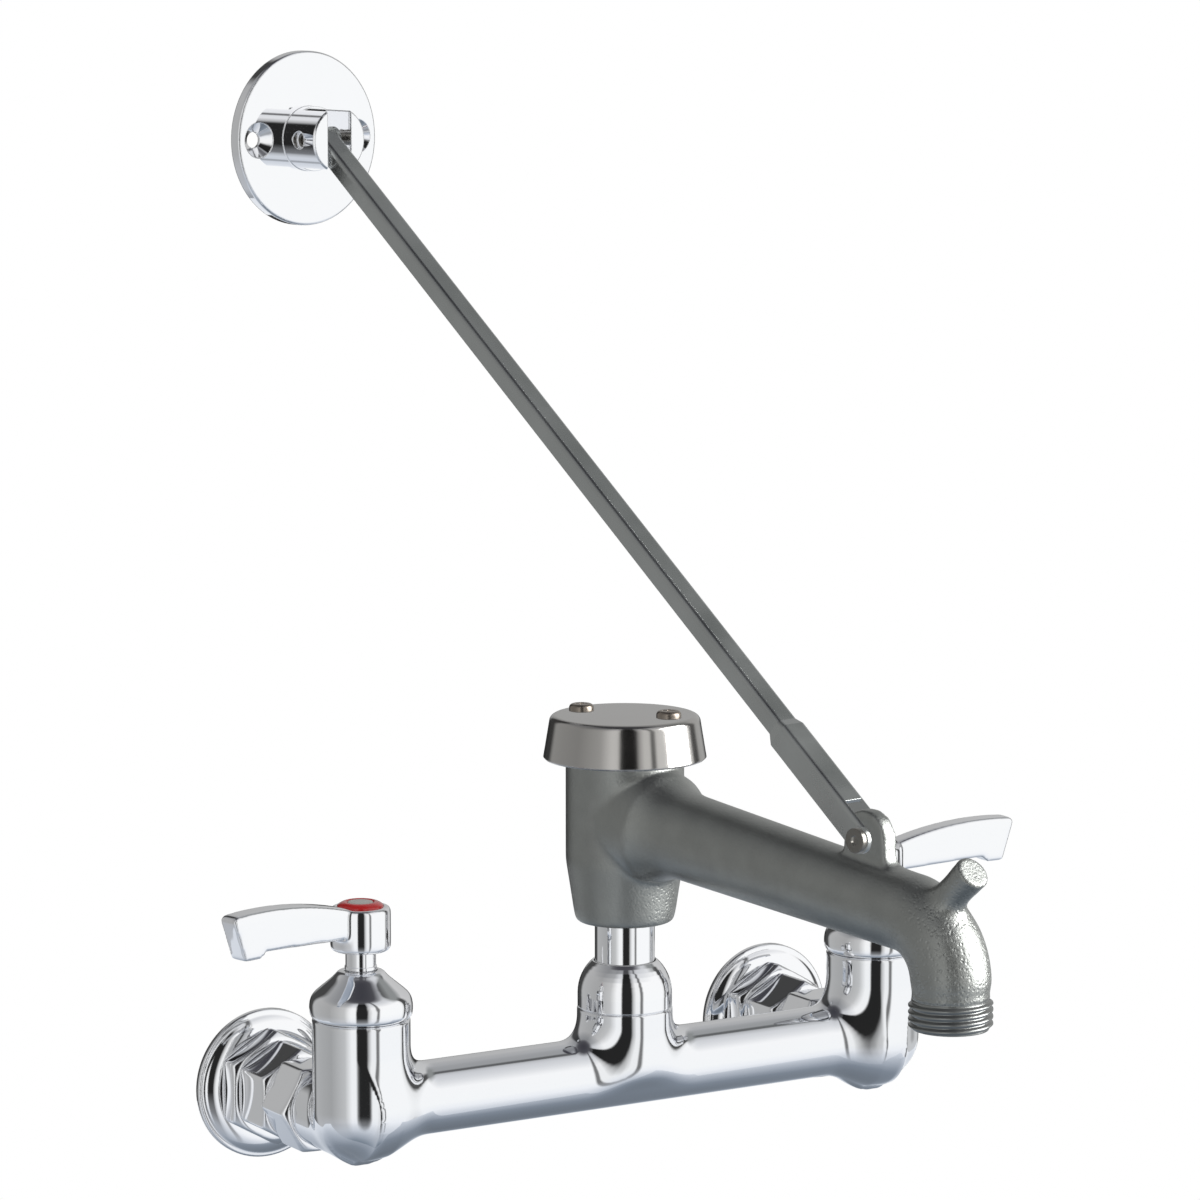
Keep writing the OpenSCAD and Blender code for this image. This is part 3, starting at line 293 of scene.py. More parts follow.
# %% Hang two soft boxes
def soft_box(name, bearing, height, distance, size, power):
    """A lamp that faces the faucet. Bearing counts degrees round from the camera, height up."""
    lamp = bpy.data.lights.new(name, "AREA")
    lamp.shape = "RECTANGLE"
    lamp.size, lamp.size_y = size
    lamp.energy = power
    stand = bpy.data.objects.new(name, lamp)
    way = way_from_target(camera_azimuth + math.radians(bearing), math.radians(height))
    stand_facing(stand, way, distance)
    return stand


spout_bodies = [frame["bodies"][name] for name in ("spout", "float", "brace_arm")]
spout_group = bpy.data.collections.new("spout_group")
for solid in nodes.values():
    if solid.parent in spout_bodies:
        spout_group.objects.link(solid)
        solid.visible_glossy = False

key = soft_box("right_soft_box", bearing=-84, height=14, distance=1.2, size=(0.9, 1.1), power=24.0)
key.light_linking.receiver_collection = spout_group
top = soft_box("top_soft_box", bearing=-20, height=70, distance=1.4, size=(1.2, 0.8), power=6.0)
top.visible_glossy = False

# %% [markdown]
# ## The floor
# The faucet hangs on a wall, so the floor lies well below it. It is a sheet of white board,
# turned with the camera so that its near edge stays out of the picture.

# %% Lay the sheet of board
floor_mesh = bpy.data.meshes.new("studio_floor")
sheet = bmesh.new()
bmesh.ops.create_grid(sheet, x_segments=8, y_segments=8, size=0.62)
sheet.to_mesh(floor_mesh)
sheet.free()
floor = bpy.data.objects.new("studio_floor", floor_mesh)
floor.location = (0.22, 0.36, -0.30)
floor.rotation_euler = (0.0, 0.0, -camera_azimuth)
scene.collection.objects.link(floor)
print("floor at", tuple(round(c, 2) for c in floor.location))

# %% [markdown]
# ## The board's white
# A lit sheet of paper is never quite white in a render. It is blended with its own glow
# instead: full glow far out, where the picture has to be white, and a little less under the
# faucet, where the soft shadow has to show. Metal sees the board in a cool grey that turns
# as light as the room further out, so that no edge of the board shows in the chrome.

# %% Make the white board
foot = (0.035, -0.33, 0.0)
foot_tones = [
    (0.00, (0.13, 0.155, 0.19)), (0.15, (0.17, 0.20, 0.24)), (0.25, (0.22, 0.255, 0.305)),
    (0.35, (0.36, 0.40, 0.46)), (0.60, (0.66, 0.70, 0.76)), (1.00, (0.90, 0.92, 0.95)),
]
shadow_middle = (0.0, -0.25, 0.0)
glow_stops = [(0.10, 0.90), (0.34, 1.0)]

board = bpy.data.materials.new("white_board")
tree = empty_tree(board)
place = add_node(tree, "ShaderNodeTexCoord").outputs["Object"]
fibres = noise(tree, place, scale=260.0, detail=4.0)
paper = add_node(tree, "ShaderNodeBsdfDiffuse", {"Color": ramp(tree, fibres, [(0.3, 0.80), (0.7, 0.86)])})
own_ray, looked_at = ray_kinds(tree)
mirror_tone = ramp(tree, distance_from(tree, place, foot), foot_tones)
glow_tone = mix_tones(tree, own_ray, mirror_tone, white)
glow = add_node(tree, "ShaderNodeEmission", {"Color": glow_tone, "Strength": 1.0})
near_white = ramp(tree, distance_from(tree, place, shadow_middle), glow_stops)
glow_share = calc(tree, "MULTIPLY", looked_at, near_white)
blend = add_node(tree, "ShaderNodeMixShader", {
    "Fac": glow_share, 1: paper.outputs["BSDF"], 2: glow.outputs["Emission"],
})
add_node(tree, "ShaderNodeOutputMaterial", {"Surface": blend.outputs["Shader"]})
floor_mesh.materials.append(board)
print("board nodes:", len(tree.nodes))

# %% [markdown]
# ## Polished chrome
# Plating over polished brass is a near-perfect mirror, very slightly blue. Polishing
# leaves a faint waviness, so the roughness isn't one number: a soft noise moves it. Real
# edges are never sharp. They could be bevelled in the mesh, but here the shading rounds
# them, which costs no faces.

# %% Make the chrome finishes
def new_finish(name):
    """A material, its empty tree, and the place of each point on its piece."""
    material = bpy.data.materials.new(name)
    tree = empty_tree(material)
    return material, tree, add_node(tree, "ShaderNodeTexCoord").outputs["Object"]


def close_finish(tree, feeds):
    """Add the one shader with everything that feeds it, and wire it to the output."""
    shader = add_node(tree, "ShaderNodeBsdfPrincipled", feeds)
    add_node(tree, "ShaderNodeOutputMaterial", {"Surface": shader.outputs["BSDF"]})


def metal(name, tone, roughness, waviness=0.0, edge=0.0006, tone_spread=0.0):
    """A metal whose tone and roughness drift softly, with its edges rounded in the shading."""
    material, tree, place = new_finish(name)
    wave_depth = 0.0006
    cloud = noise(tree, place, scale=40.0, detail=3.0)
    dark = tuple(c * (1.0 - tone_spread) for c in tone)
    normal = add_node(tree, "ShaderNodeBevel", {"Radius": edge}, samples=6).outputs["Normal"]
    if waviness:
        waves = {"Height": cloud, "Strength": waviness, "Distance": wave_depth, "Normal": normal}
        normal = add_node(tree, "ShaderNodeBump", waves).outputs["Normal"]
    close_finish(tree, {
        "Metallic": 1.0,
        "Base Color": ramp(tree, cloud, [(0.35, dark), (0.65, tone)]),
        "Roughness": map_range(tree, cloud, (0.3, 0.7), (roughness * 0.8, roughness * 1.25)),
        "Normal": normal,
    })
    return material


finishes = {
    "chrome_body": metal("polished_chrome_body", (0.91, 0.92, 0.94), 0.04, waviness=0.03),
    "chrome_parts": metal("polished_chrome_parts", (0.94, 0.945, 0.96), 0.03),
    "nickel_cap": metal("warm_nickel", (0.50, 0.485, 0.465), 0.13, edge=0.0008),
    "cap_screw_steel": metal("cap_screw_steel", (0.30, 0.26, 0.22), 0.30),
    "zinc_steel": metal(
        "zinc_steel", (0.46, 0.475, 0.465), 0.27, waviness=0.03, edge=0.0003, tone_spread=0.08,
    ),
    "pin_steel": metal("pin_steel", (0.24, 0.23, 0.21), 0.28),
    "brass": metal("machined_brass", (0.70, 0.55, 0.28), 0.25),
}
print("metal finishes:", len(finishes))

# %% [markdown]
# ## Sand-cast chrome
# Plating doesn't hide a casting's skin: it follows every grain of the sand. The skin has an
# even fine grain, a slow mottle, and pits where the sand broke away, which are thickest at
# the front of the outlet and low on the barrel. Such grain is far too small for faces, so
# it's a bump in the shading, made from noise and from a Voronoi pattern for the pits.

# %% Make the sand-cast finish
def sand_cast(name, tone, rough_places):
    """A plated sand casting. Each of the two rough places is a middle and a reach, in metres."""
    material, tree, place = new_finish(name)
    mottle = noise(tree, place, scale=110.0, detail=5.0)
    grain = noise(tree, place, scale=1300.0, detail=4.0)
    pits = add_node(tree, "ShaderNodeTexVoronoi", {"Vector": place, "Scale": 760.0}).outputs["Distance"]
    dark, light = (tuple(c * share for c in tone) for share in (0.95, 1.04))
    pitted_here = [
        map_range(tree, distance_from(tree, place, middle), (reach * 0.4, reach), (1.0, 0.12))
        for middle, reach in rough_places
    ]
    fine = add_node(tree, "ShaderNodeBump", {"Height": grain, "Strength": 0.7, "Distance": 0.00014})
    coarse = add_node(tree, "ShaderNodeBump", {
        "Height": ramp(tree, pits, [(0.10, 0.0), (0.45, 1.0)]),
        "Strength": calc(tree, "MAXIMUM", *pitted_here),
        "Distance": 0.0001,
        "Normal": fine.outputs["Normal"],
    })
    close_finish(tree, {
        "Metallic": 1.0,
        "Base Color": ramp(tree, mottle, [(0.35, dark), (0.65, light)]),
        "Roughness": map_range(tree, grain, (0.3, 0.7), (0.33, 0.44)),
        "Normal": coarse.outputs["Normal"],
    })
    return material


outlet_front = ((0.022, -0.232, 0.075), 0.034)
barrel_foot = ((0.016, -0.088, 0.070), 0.026)
finishes["cast_chrome"] = sand_cast("sand_cast_chrome", (0.335, 0.345, 0.330), (outlet_front, barrel_foot))
print("sand-cast finish made, rough places: 2")

# %% [markdown]
# ## The finishes that aren't metal
# Rubber, ceramic, nylon and the enamel of the two index buttons are one kind of material
# to a renderer: a coloured base under a clear surface. One recipe makes them all, and only
# the enamel gets a coat of gloss on top.

# %% Make the plain finishes
def plastic(name, tone, roughness, coat=0.0):
    """A plastic, rubber, ceramic or enamel with a soft cloud in its tone and gloss."""
    material, tree, place = new_finish(name)
    cloud = noise(tree, place, scale=300.0, detail=3.0)
    dark = tuple(c * 0.9 for c in tone)
    close_finish(tree, {
        "Coat Weight": coat,
        "Base Color": ramp(tree, cloud, [(0.3, dark), (0.7, tone)]),
        "Roughness": map_range(tree, cloud, (0.0, 1.0), (roughness * 0.8, roughness * 1.2)),
    })
    return material


finishes["black_rubber"] = plastic("black_rubber", (0.03, 0.03, 0.03), 0.7)
finishes["white_ceramic"] = plastic("white_ceramic", (0.85, 0.85, 0.83), 0.2)
finishes["white_nylon"] = plastic("white_nylon", (0.80, 0.80, 0.78), 0.45)
finishes["float_plastic"] = plastic("float_plastic", (0.50, 0.28, 0.14), 0.5)
finishes["red_button"] = plastic("red_enamel", (0.62, 0.02, 0.02), 0.25, coat=0.6)
finishes["blue_button"] = plastic("blue_enamel", (0.02, 0.12, 0.50), 0.25, coat=0.6)
print("finishes in all:", len(finishes))

# %% [markdown]
# ## Finishes on the solids
# The faucet's record names a finish for each solid. Picking materials by hand for 48 pieces
# invites slips, so the record decides, and a change there reaches the render by itself.

# %% Put each finish on its solids
def put_finish(mesh, finish):
    mesh.materials.clear()
    mesh.materials.append(finish)


slot_of = {entry["node"]: entry["material_slot"] for entry in frame["record"]["subparts"]}
for node, slot in slot_of.items():
    put_finish(nodes[node].data, finishes[slot])
print("solids with a finish:", len(slot_of))

# %% [markdown]
# ## Where the main axes are
# The two valves stand 8 inches apart, the usual spacing of wall faucets, and the cross tube
# lies 70 mm in front of the wall flanges. The spout stands on the tube's middle and is swung
# a little to the right. Everything that is laid over the solids is measured from these axes,
# in millimetres.

# %% Name the main axes
inlet_spacing = 203.2
right_x = inlet_spacing / 2.0
left_x = -right_x
sides = (("left", left_x), ("right", right_x))
tube_y, tube_z = -70.0, 6.3

spout_swing = math.radians(10.0)
spout_way = Vector((math.sin(spout_swing), -math.cos(spout_swing), 0.0))
neck_axis = Vector((0.0, tube_y, 0.0))
outlet_reach, outlet_z, thread_length = 155.0, 47.27, 9.5
outlet_centre = neck_axis + spout_way * outlet_reach
print("outlet centre:", [round(c, 1) for c in outlet_centre.xy])

# %% [markdown]
# ## A fresh skin for rounded forms
# The solids have few, large faces with sharp meeting lines. A cast or polished piece is soft
# all over. A bevel tool stumbles where many forms meet, so the solid is re-skinned in small
# even faces by the Remesh modifier, and then its points are moved: each goes half the way to
# the middle of its neighbours, again and again, which wears the corners down.

# %% Re-skin a solid and wear it down
def even_skin_of(node, name, face_size):
    """A copy of the node's solid, under this name, with small even faces of this size."""
    solid = nodes[node]
    mesh = bpy.data.meshes.new_from_object(solid)
    mesh.transform(solid.matrix_world)
    piece = bpy.data.objects.new(name, mesh)
    scene.collection.objects.link(piece)
    remesh = piece.modifiers.new("even_skin", "REMESH")
    remesh.mode = "VOXEL"
    remesh.voxel_size = face_size
    evaluated = piece.evaluated_get(bpy.context.evaluated_depsgraph_get())
    even_mesh = bpy.data.meshes.new_from_object(evaluated)
    piece.modifiers.clear()
    piece.data = even_mesh
    return piece


def read_points(mesh):
    """The mesh's points in millimetres, one row each."""
    points = np.empty(len(mesh.vertices) * 3)
    mesh.vertices.foreach_get("co", points)
    return points.reshape(-1, 3) * 1000.0


def write_points(mesh, points, finish):
    """Move the mesh's points, then give it smooth shading and its finish."""
    mesh.vertices.foreach_set("co", (points / 1000.0).ravel())
    mesh.update()
    mesh.shade_smooth()
    put_finish(mesh, finish)


def worn_down(mesh, points, share, step_count):
    """The points after these steps. A point with share 0 stays where it is."""
    ends = np.empty(len(mesh.edges) * 2, dtype=np.int64)
    mesh.edges.foreach_get("vertices", ends)
    ends = ends.reshape(-1, 2)
    here = np.concatenate([ends[:, 0], ends[:, 1]])
    there = np.concatenate([ends[:, 1], ends[:, 0]])
    neighbours = np.bincount(here, minlength=len(points))
    for step in range(step_count):
        sums = [np.bincount(here, points[there, axis], len(points)) for axis in range(3)]
        middle = np.stack(sums, axis=1) / neighbours[:, None]
        points = points + (middle - points) * 0.5 * share[:, None]
    return points


print("re-skinning helpers ready")

# %% [markdown]
# ## The spout casting
# The spout is poured in a sand mould. Sand can't hold a sharp inside corner, so the arm
# flows into the barrel, the lug and the hook in soft fillets, while the faces that were
# turned or drilled afterwards stay crisp. A share for each point says which is which.

# %% Tell the cast skin from the machined faces
up = Vector((0.0, 0.0, 1.0))
lug_reach, lug_z = 118.0, 102.97
lug_pin = neck_axis + spout_way * lug_reach + up * lug_z
hook_reach, hook_z, hook_end = 143.77, 79.65, 26.4
hook_foot = neck_axis + spout_way * hook_reach + up * hook_z
hook_rise = math.radians(43.2)
hook_way = spout_way * math.cos(hook_rise) + up * math.sin(hook_rise)

barrel_inner, barrel_outer = 17.2, 18.6
barrel_low, barrel_cast_from, barrel_high = 58.3, 59.6, 62.0
cap_seat_low, cap_seat_high = 112.0, 114.0
shank_radius, shank_blend = 16.0, 1.5
pin_bore = 3.4


def smooth_share(value, start, end):
    """0 up to start, 1 from end on, and a soft passage between."""
    t = max(0.0, min(1.0, (value - start) / (end - start)))
    return t * t * (3.0 - 2.0 * t)


def cast_share(point):
    """1 where the skin is as cast, 0 where it was machined."""
    from_neck = (point - neck_axis).to_2d().length
    from_outlet = (point - outlet_centre).to_2d().length
    from_pin = point - lug_pin
    share = 1.0 - smooth_share(point.z, cap_seat_low, cap_seat_high)
    if from_neck < barrel_outer and point.z > barrel_high:
        share = min(share, smooth_share(from_neck, barrel_inner, barrel_outer))
    elif from_neck < barrel_outer:
        share = min(share, smooth_share(point.z, barrel_low, barrel_cast_from))
    if from_outlet < shank_radius:
        thread_top = outlet_z + thread_length
        share = min(share, smooth_share(point.z, thread_top, thread_top + shank_blend))
    if Vector((from_pin.dot(spout_way), from_pin.z)).length < pin_bore:
        share = 0.0
    if (point - hook_foot).dot(hook_way) > hook_end:
        share = 0.0
    return share


print("hook rises", round(math.degrees(hook_rise), 1), "degrees")

# %% [markdown]
# ## The spout's soft corners
# The whole casting is worn down a little. The hook's root is a deeper fillet on the real
# spout, because it carries a full bucket, so the steps go on there alone. Where the hose
# thread will sit, the skin is drawn in to a plain cylinder just under the thread.

# %% Soften the spout's corners
spout_face_size = 0.0007
all_over_steps, hook_steps = 16, 44
hook_root, hook_full, hook_none = 11.0, 9.0, 15.0
hook_middle = hook_foot + hook_way * hook_root
seat_radius, seat_inner, seat_outer = 11.9, 11.2, 14.5
seat_below, seat_above = 1.0, 0.6

casting = even_skin_of("spout_casting", "cast_spout", spout_face_size)
points = read_points(casting.data)
at_start = [Vector(point) for point in points]
cast = np.array([cast_share(point) for point in at_start])
from_hook = [(point - hook_middle).length for point in at_start]
near_hook = np.array([1.0 - smooth_share(length, hook_full, hook_none) for length in from_hook])
points = worn_down(casting.data, points, cast, all_over_steps)
points = worn_down(casting.data, points, cast * near_hook, hook_steps)

from_axis = points[:, :2] - np.array(outlet_centre.xy)
distance = np.linalg.norm(from_axis, axis=1)
over_outlet = points[:, 2] - outlet_z
seated = (over_outlet > -seat_below) & (over_outlet < thread_length + seat_above)
seated &= (distance > seat_inner) & (distance < seat_outer)
drawn_in = from_axis[seated] / distance[seated, None] * seat_radius
points[seated, :2] = np.array(outlet_centre.xy) + drawn_in

write_points(casting.data, points, finishes["cast_chrome"])
casting.visible_glossy = False
spout_group.objects.link(casting)
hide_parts("spout_casting")
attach(casting, "spout")
print("casting faces:", len(casting.data.polygons))

# %% [markdown]
# ## The valve body
# The body is one brass casting: a cross tube, three towers and two inlet necks. The
# pattern maker rounds every inside corner so that the metal fills the mould, and the
# polishing wheel only softens it further. Wearing points down would thin the tube, so the
# body is described by distances instead: each form says how far a point is from its skin,
# and two forms are joined by a blend of their distances that makes a rolling corner.

# %% Describe the body's forms by distance
tower_radius, tube_radius, neck_radius = 16.2, 12.2, 13.0
towers = ((left_x, 29.8), (0.0, 21.9), (right_x, 29.8))
neck_end_y = -45.0
swell_start, swell_stop, swell_rise = 6.0, 24.0, 3.4
swell_arc = ((swell_stop - swell_start) ** 2 + swell_rise ** 2) / (2.0 * swell_rise)
tower_edge, neck_edge = 0.7, 0.5


def flowing_union(first, second, reach):
    """The nearer of two skins, with a soft corner of this reach where they meet."""
    share = np.clip(0.5 + 0.5 * (second - first) / reach, 0.0, 1.0)
    return second * (1.0 - share) + first * share - reach * share * (1.0 - share)


def rounded_edge(first, second, reach):
    """What lies inside both skins, with its edge rounded by this reach."""
    return -flowing_union(-first, -second, reach)


def tower_skin(points, x, top):
    across = np.hypot(points[:, 0] - x, points[:, 1] - tube_y)
    below = np.minimum(points[:, 2] - tube_z, 0.0)
    return rounded_edge(np.hypot(across, below) - tower_radius, points[:, 2] - tube_z - top, tower_edge)


def tube_skin(points, swollen_at):
    """The cross tube, swelling in a soft arc towards each tower that is listed."""
    away = np.min([np.abs(points[:, 0] - x) for x in swollen_at], axis=0)
    bend = np.clip(swell_stop - np.maximum(away, swell_start), 0.0, None)
    radius = tube_radius + swell_arc - np.sqrt(swell_arc ** 2 - bend ** 2)
    from_axis = np.hypot(points[:, 1] - tube_y, points[:, 2] - tube_z)
    return np.maximum(from_axis - radius, np.abs(points[:, 0]) - right_x)


def neck_skin(points, x):
    ends = np.maximum(points[:, 1] - neck_end_y, tube_y - points[:, 1])
    return rounded_edge(np.hypot(points[:, 0] - x, points[:, 2]) - neck_radius, ends, neck_edge)


print("tube", 2.0 * tube_radius, "mm thick, towers", 2.0 * tower_radius, "mm")

# %% [markdown]
# ## The body in one piece
# The forms are joined one after the other. The solid has a swell and a round underside at
# the middle tower too, and the real body is straight there, so the same function can give
# both: the solid's own skin, to find the points that lie on it, and the real skin, to lay
# them on.

# %% Join the body's forms
underside_edge = 6.0
neck_corner_share = 0.5
collar_radius, collar_top = 13.8, 38.0


def body_skin_at(points, corner, straight_middle):
    """Distance from the body's outside. Corner is how far the inside corners flow."""
    skin = tube_skin(points, (left_x, right_x) if straight_middle else (left_x, 0.0, right_x))
    for x, top in towers:
        tower = tower_skin(points, x, top)
        if straight_middle and x == 0.0:
            tower = rounded_edge(tower, tube_z - points[:, 2], underside_edge)
        skin = flowing_union(skin, tower, corner)
    for side, x in sides:
        skin = flowing_union(skin, neck_skin(points, x), corner * neck_corner_share)
    collar = np.hypot(points[:, 0], points[:, 1] - tube_y) - collar_radius
    collar = np.maximum(collar, points[:, 2] - collar_top)
    return np.minimum(skin, np.maximum(collar, tube_z - points[:, 2]))


def skin_slope(points, corner):
    """The direction straight out of the skin, from the distance a hair to each side."""
    hair_length = 0.02
    slope = []
    for hair in np.eye(3) * hair_length:
        ahead = body_skin_at(points + hair, corner, True)
        behind = body_skin_at(points - hair, corner, True)
        slope.append(ahead - behind)
    slope = np.stack(slope, axis=1)
    return slope / np.maximum(np.linalg.norm(slope, axis=1, keepdims=True), 1e-6)


print("forms joined:", 1 + len(towers) + len(sides) + 1)

# %% [markdown]
# ## The body's skin
# The solid is re-skinned in small even faces. Every point that lies on the outside is then
# moved straight out or in by its distance to the real skin. A few rounds of that are enough,
# and the bores keep their size because their points never lie on the outside.

# %% Lay the body's skin
body_face_size = 0.0007
sharp_corner, body_corner = 0.01, 9.0
outside_reach = 0.8
laying_rounds = 8

cast_body = even_skin_of("valve_body", "cast_body", body_face_size)
points = read_points(cast_body.data)
outside = np.abs(body_skin_at(points, sharp_corner, False)) < outside_reach
laid = points[outside]
for laying in range(laying_rounds):
    laid = laid - skin_slope(laid, body_corner) * body_skin_at(laid, body_corner, True)[:, None]
points[outside] = laid
write_points(cast_body.data, points, finishes["chrome_body"])
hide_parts("valve_body")
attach(cast_body, "faucet_body")
print("body faces:", len(cast_body.data.polygons), "laid:", int(outside.sum()))

# %% [markdown]
# ## Polished parts
# Levers, bonnets and nuts come to the polishing wheel after they are cast or milled, and
# the wheel takes every sharp edge off before the chrome goes on. The same is done here:
# each solid is re-skinned, and only the skin that looks away from the piece's axis is worn
# down. Bores and threads look inward, so they keep their size.

# %% Re-skin the polished parts and soften their edges
part_face_size = 0.00045
inward_stays, turn_share = 0.6, 0.4
stem_way, inlet_way = np.array((0.0, 0.0, 1.0)), np.array((0.0, 1.0, 0.0))
bonnet_steps, handle_steps, nut_steps = 40, 24, 12


def worn_part(node, step_count, centre, axis):
    """The node's solid, worn soft where it looks away from the axis through this centre."""
    part = even_skin_of(node, "worn_" + node, part_face_size)
    mesh = part.data
    facing = np.empty(len(mesh.vertices) * 3)
    mesh.vertices.foreach_get("normal", facing)
    points = read_points(mesh)
    spoke = points - np.array(centre)
    spoke -= (spoke @ axis)[:, None] * axis
    spoke /= np.maximum(np.linalg.norm(spoke, axis=1, keepdims=True), 1e-6)
    away = (spoke * facing.reshape(-1, 3)).sum(axis=1)
    share = np.clip((away + inward_stays) / turn_share, 0.0, 1.0)
    write_points(mesh, worn_down(mesh, points, share, step_count), finishes[slot_of[node]])
    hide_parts(node)
    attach(part, nodes[node].parent.name.removeprefix("body:"))
    return part


worn = []
for side, x in sides:
    worn.append(worn_part("bonnet_" + side, bonnet_steps, (x, tube_y, 0.0), stem_way))
    worn.append(worn_part("handle_" + side, handle_steps, (x, tube_y, 0.0), stem_way))
    for piece in ("flange_nut_", "inlet_union_", "coupling_nut_"):
        worn.append(worn_part(piece + side, nut_steps, (x, 0.0, 0.0), inlet_way))
print("polished parts:", len(worn), "faces:", sum(len(part.data.polygons) for part in worn))

# %% [markdown]
# ## Pieces made of rings
# A screw thread, a button and a spun flange all are rings of points, one above the other,
# with faces between them. Blender's Screw and Spin tools make such shapes by hand. A short
# function does the same and takes any radius for any point.

# %% Join rings of points
def point_round(centre, radius, share, height):
    """A point in millimetres, at this share of a whole turn round the centre."""
    turn = 2.0 * math.pi * share
    return (centre[0] + radius * math.cos(turn), centre[1] + radius * math.sin(turn), height)


def ring_piece(name, rings, finish, closed=False):
    """A piece with faces from each ring to the next. Closed joins the last to the first."""
    shape = bmesh.new()
    rows = [[shape.verts.new(Vector(point) / 1000.0) for point in ring] for ring in rings]
    around = max(len(row) for row in rows)
    next_rows = rows[1:] + (rows[:1] if closed else [])
    for low, high in zip(rows, next_rows):
        for i in range(around):
            j = (i + 1) % around
            corners = (low[i % len(low)], low[j % len(low)], high[j % len(high)], high[i % len(high)])
            corners = list(dict.fromkeys(corners))
            if len(corners) > 2:
                shape.faces.new(corners)
    bmesh.ops.recalc_face_normals(shape, faces=shape.faces)
    mesh = bpy.data.meshes.new(name)
    shape.to_mesh(mesh)
    shape.free()
    mesh.shade_smooth()
    put_finish(mesh, finish)
    piece = bpy.data.objects.new(name, mesh)
    scene.collection.objects.link(piece)
    return piece


print("ring helpers ready")

# %% [markdown]
# ## The hose thread
# A garden hose screws on to the outlet, on a thread with eleven and a half turns to the
# inch. Its crests are cut flat and its grooves are V-shaped. One helical skin does it:
# the radius at each point depends only on how far along the screw that point is.

# %% Cut the hose thread
thread_pitch, groove_half_width, thread_edge = 2.209, 0.38, 0.0002
crest_radius, root_radius, sleeve_radius = 13.45, 12.1, 11.6
run_in, run_out = 1.2, 1.0
thread_around, thread_rows = 128, 44


def thread_radius(height, share):
    """The thread's radius at this height and share of a turn, plain at both ends."""
    phase = (height / thread_pitch - share) % 1.0
    groove = max(0.0, 1.0 - abs(phase - 0.5) / groove_half_width)
    cut = smooth_share(height, 0.0, run_in)
    cut *= 1.0 - smooth_share(height, thread_length - run_out, thread_length)
    return root_radius + (crest_radius - root_radius) * (1.0 - groove) * cut


shares = [i / thread_around for i in range(thread_around)]
rings = []
for row in range(thread_rows + 1):
    height = thread_length * row / thread_rows
    radii = [thread_radius(height, share) for share in shares]
    rings.append([
        point_round(outlet_centre, radius, share, outlet_z + height)
        for radius, share in zip(radii, shares)
    ])
for height in (thread_length, 0.0):
    rings.append([point_round(outlet_centre, sleeve_radius, share, outlet_z + height) for share in shares])
turned_metal = metal(
    "turned_thread", (0.30, 0.31, 0.30), 0.30, waviness=0.05, edge=thread_edge, tone_spread=0.15,
)
hose_thread = ring_piece("hose_thread", rings, turned_metal, closed=True)
hose_thread.visible_glossy = False
spout_group.objects.link(hose_thread)
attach(hose_thread, "spout")
print("thread turns:", round(thread_length / thread_pitch, 1))

# %% [markdown]
# ## The index buttons
# Red marks hot and blue marks cold. Each button is a pressed metal plate with an enamelled
# ring round a pale middle, with a fine sunk line between the two. Both are lathe work: an
# outline of radii and heights, turned round the stem. The marks are left bare.

# %% Turn the two index buttons
def turned_piece(name, outline, centre, finish, around=96):
    """A lathe-turned piece from (radius, height) points in millimetres."""
    rings = []
    for radius, height in outline:
        count = around if radius > 0.0 else 1
        rings.append([point_round(centre, radius, i / around, height) for i in range(count)])
    return ring_piece(name, rings, finish)


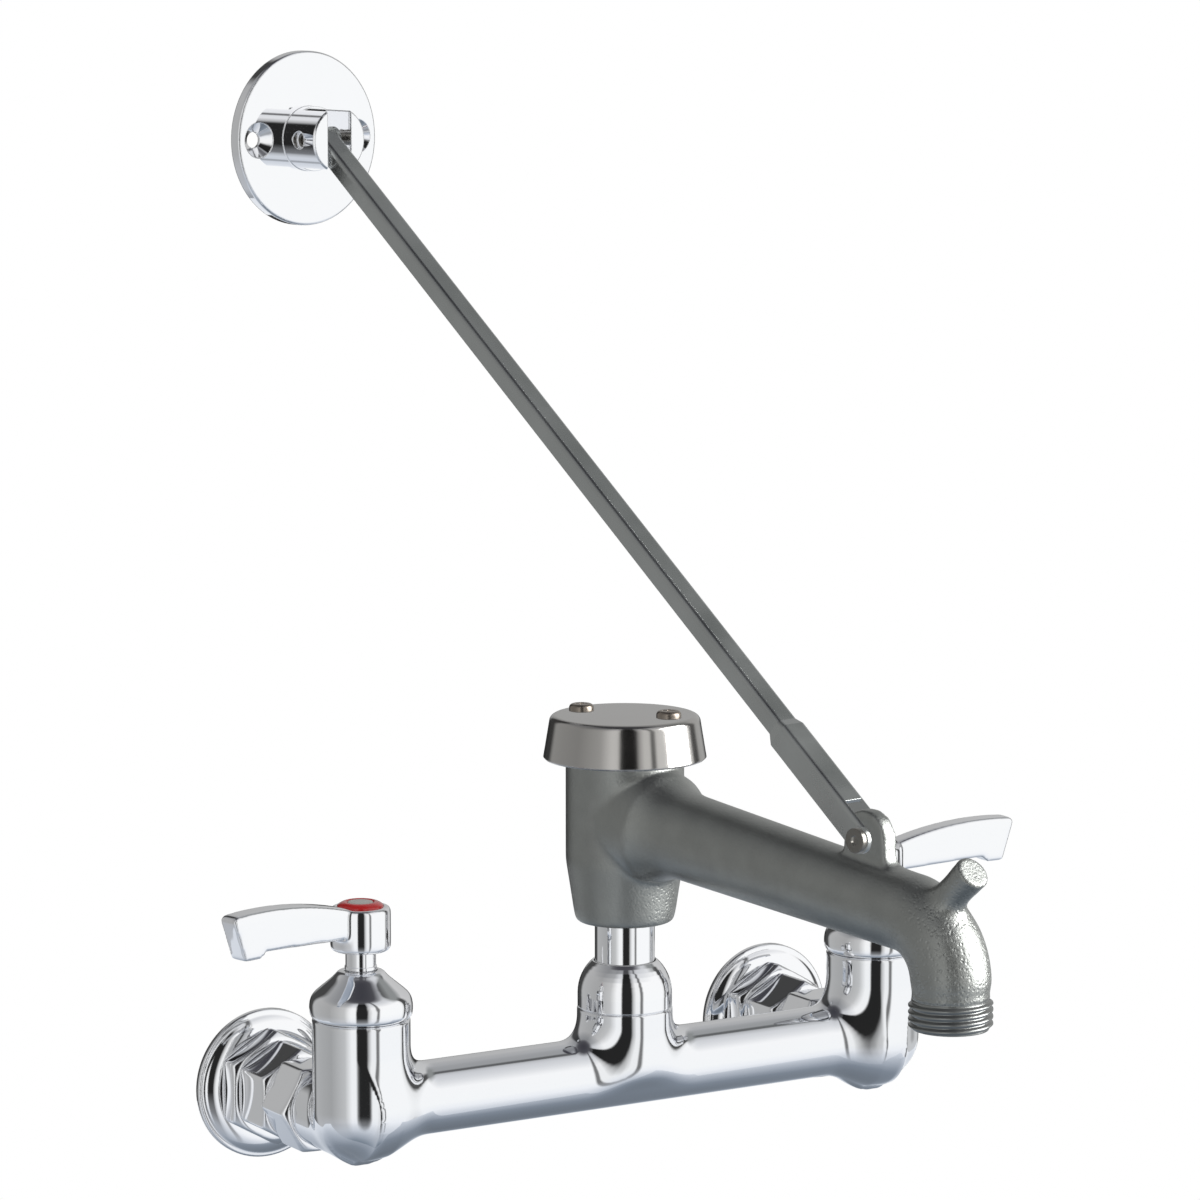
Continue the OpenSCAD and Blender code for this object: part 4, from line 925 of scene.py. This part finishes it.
hub_top, seat_drop = 73.57, 1.82
ring_bore = 4.3
ring_steps = [
    (ring_bore, -seat_drop), (7.5, -seat_drop), (7.6, 0.1 - seat_drop), (7.6, 0.2), (7.3, 0.55),
    (6.7, 0.95), (6.0, 1.3), (5.4, 1.48), (4.9, 1.5), (4.6, 1.35), (4.5, 1.0), (ring_bore, 0.95),
    (ring_bore, -seat_drop),
]
plate_steps = [(0.0, 0.2), (4.15, 0.2), (4.2, 1.2), (4.0, 1.4), (3.0, 1.5), (1.5, 1.56), (0.0, 1.58)]
ring_outline = [(radius, hub_top + step) for radius, step in ring_steps]
plate_outline = [(radius, hub_top + step) for radius, step in plate_steps]
finishes["pale_plate"] = plastic("pale_plate", (0.55, 0.54, 0.50), 0.35)
for (side, x), enamel in zip(sides, ("red_button", "blue_button")):
    ring = turned_piece("index_ring_" + side, ring_outline, (x, tube_y), finishes[enamel])
    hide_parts("index_button_" + side)
    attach(ring, side + "_handle")
    plate = turned_piece("index_plate_" + side, plate_outline, (x, tube_y), finishes["pale_plate"])
    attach(plate, side + "_handle")
print("index buttons turned, outline points:", len(ring_outline) + len(plate_outline))

# %% [markdown]
# ## The wall flanges
# A wall flange is spun from sheet: it rises from a rolled rim in a soft dome to the nut.
# The dome is what bends the room's dark and light walls into rings, so its arc matters more
# than its height. It's turned on the same lathe and then tipped over to face the wall.

# %% Spin the two wall flanges
flange_bore, flange_height = 12.45, 4.5
rim_radius, rim_wall, rim_roll, rim_points = 25.7, 1.3, 0.9, 6
dome_start, dome_radius, dome_angle, dome_points = 17.9, 9.4, 38.0, 12
rim_to_dome = [(24.2, 2.25), (23.7, 2.45)]
flange_outline = [(flange_bore, 0.0), (rim_radius, 0.0), (rim_radius, rim_wall)]
for i in range(rim_points + 1):
    turn = math.radians(90.0 * i / rim_points)
    radius = rim_radius - rim_roll + rim_roll * math.cos(turn)
    flange_outline.append((radius, rim_wall + rim_roll * math.sin(turn)))
flange_outline += rim_to_dome
for i in range(1, dome_points + 1):
    turn = math.radians(dome_angle * (1.0 - i / dome_points))
    fall = dome_radius * (1.0 - math.cos(turn))
    flange_outline.append((dome_start + dome_radius * math.sin(turn), flange_height - fall))
flange_outline += [(flange_bore, flange_height), (flange_bore, 0.0)]

tipped = Matrix.Rotation(math.radians(90.0), 4, "X")
for side, x in sides:
    flange = turned_piece("spun_flange_" + side, flange_outline, (0.0, 0.0), finishes["chrome_parts"])
    flange.data.transform(Matrix.Translation((x / 1000.0, 0.0, 0.0)) @ tipped)
    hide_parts("wall_flange_" + side)
    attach(flange, "faucet_body")
print("flanges spun, outline points:", len(flange_outline))
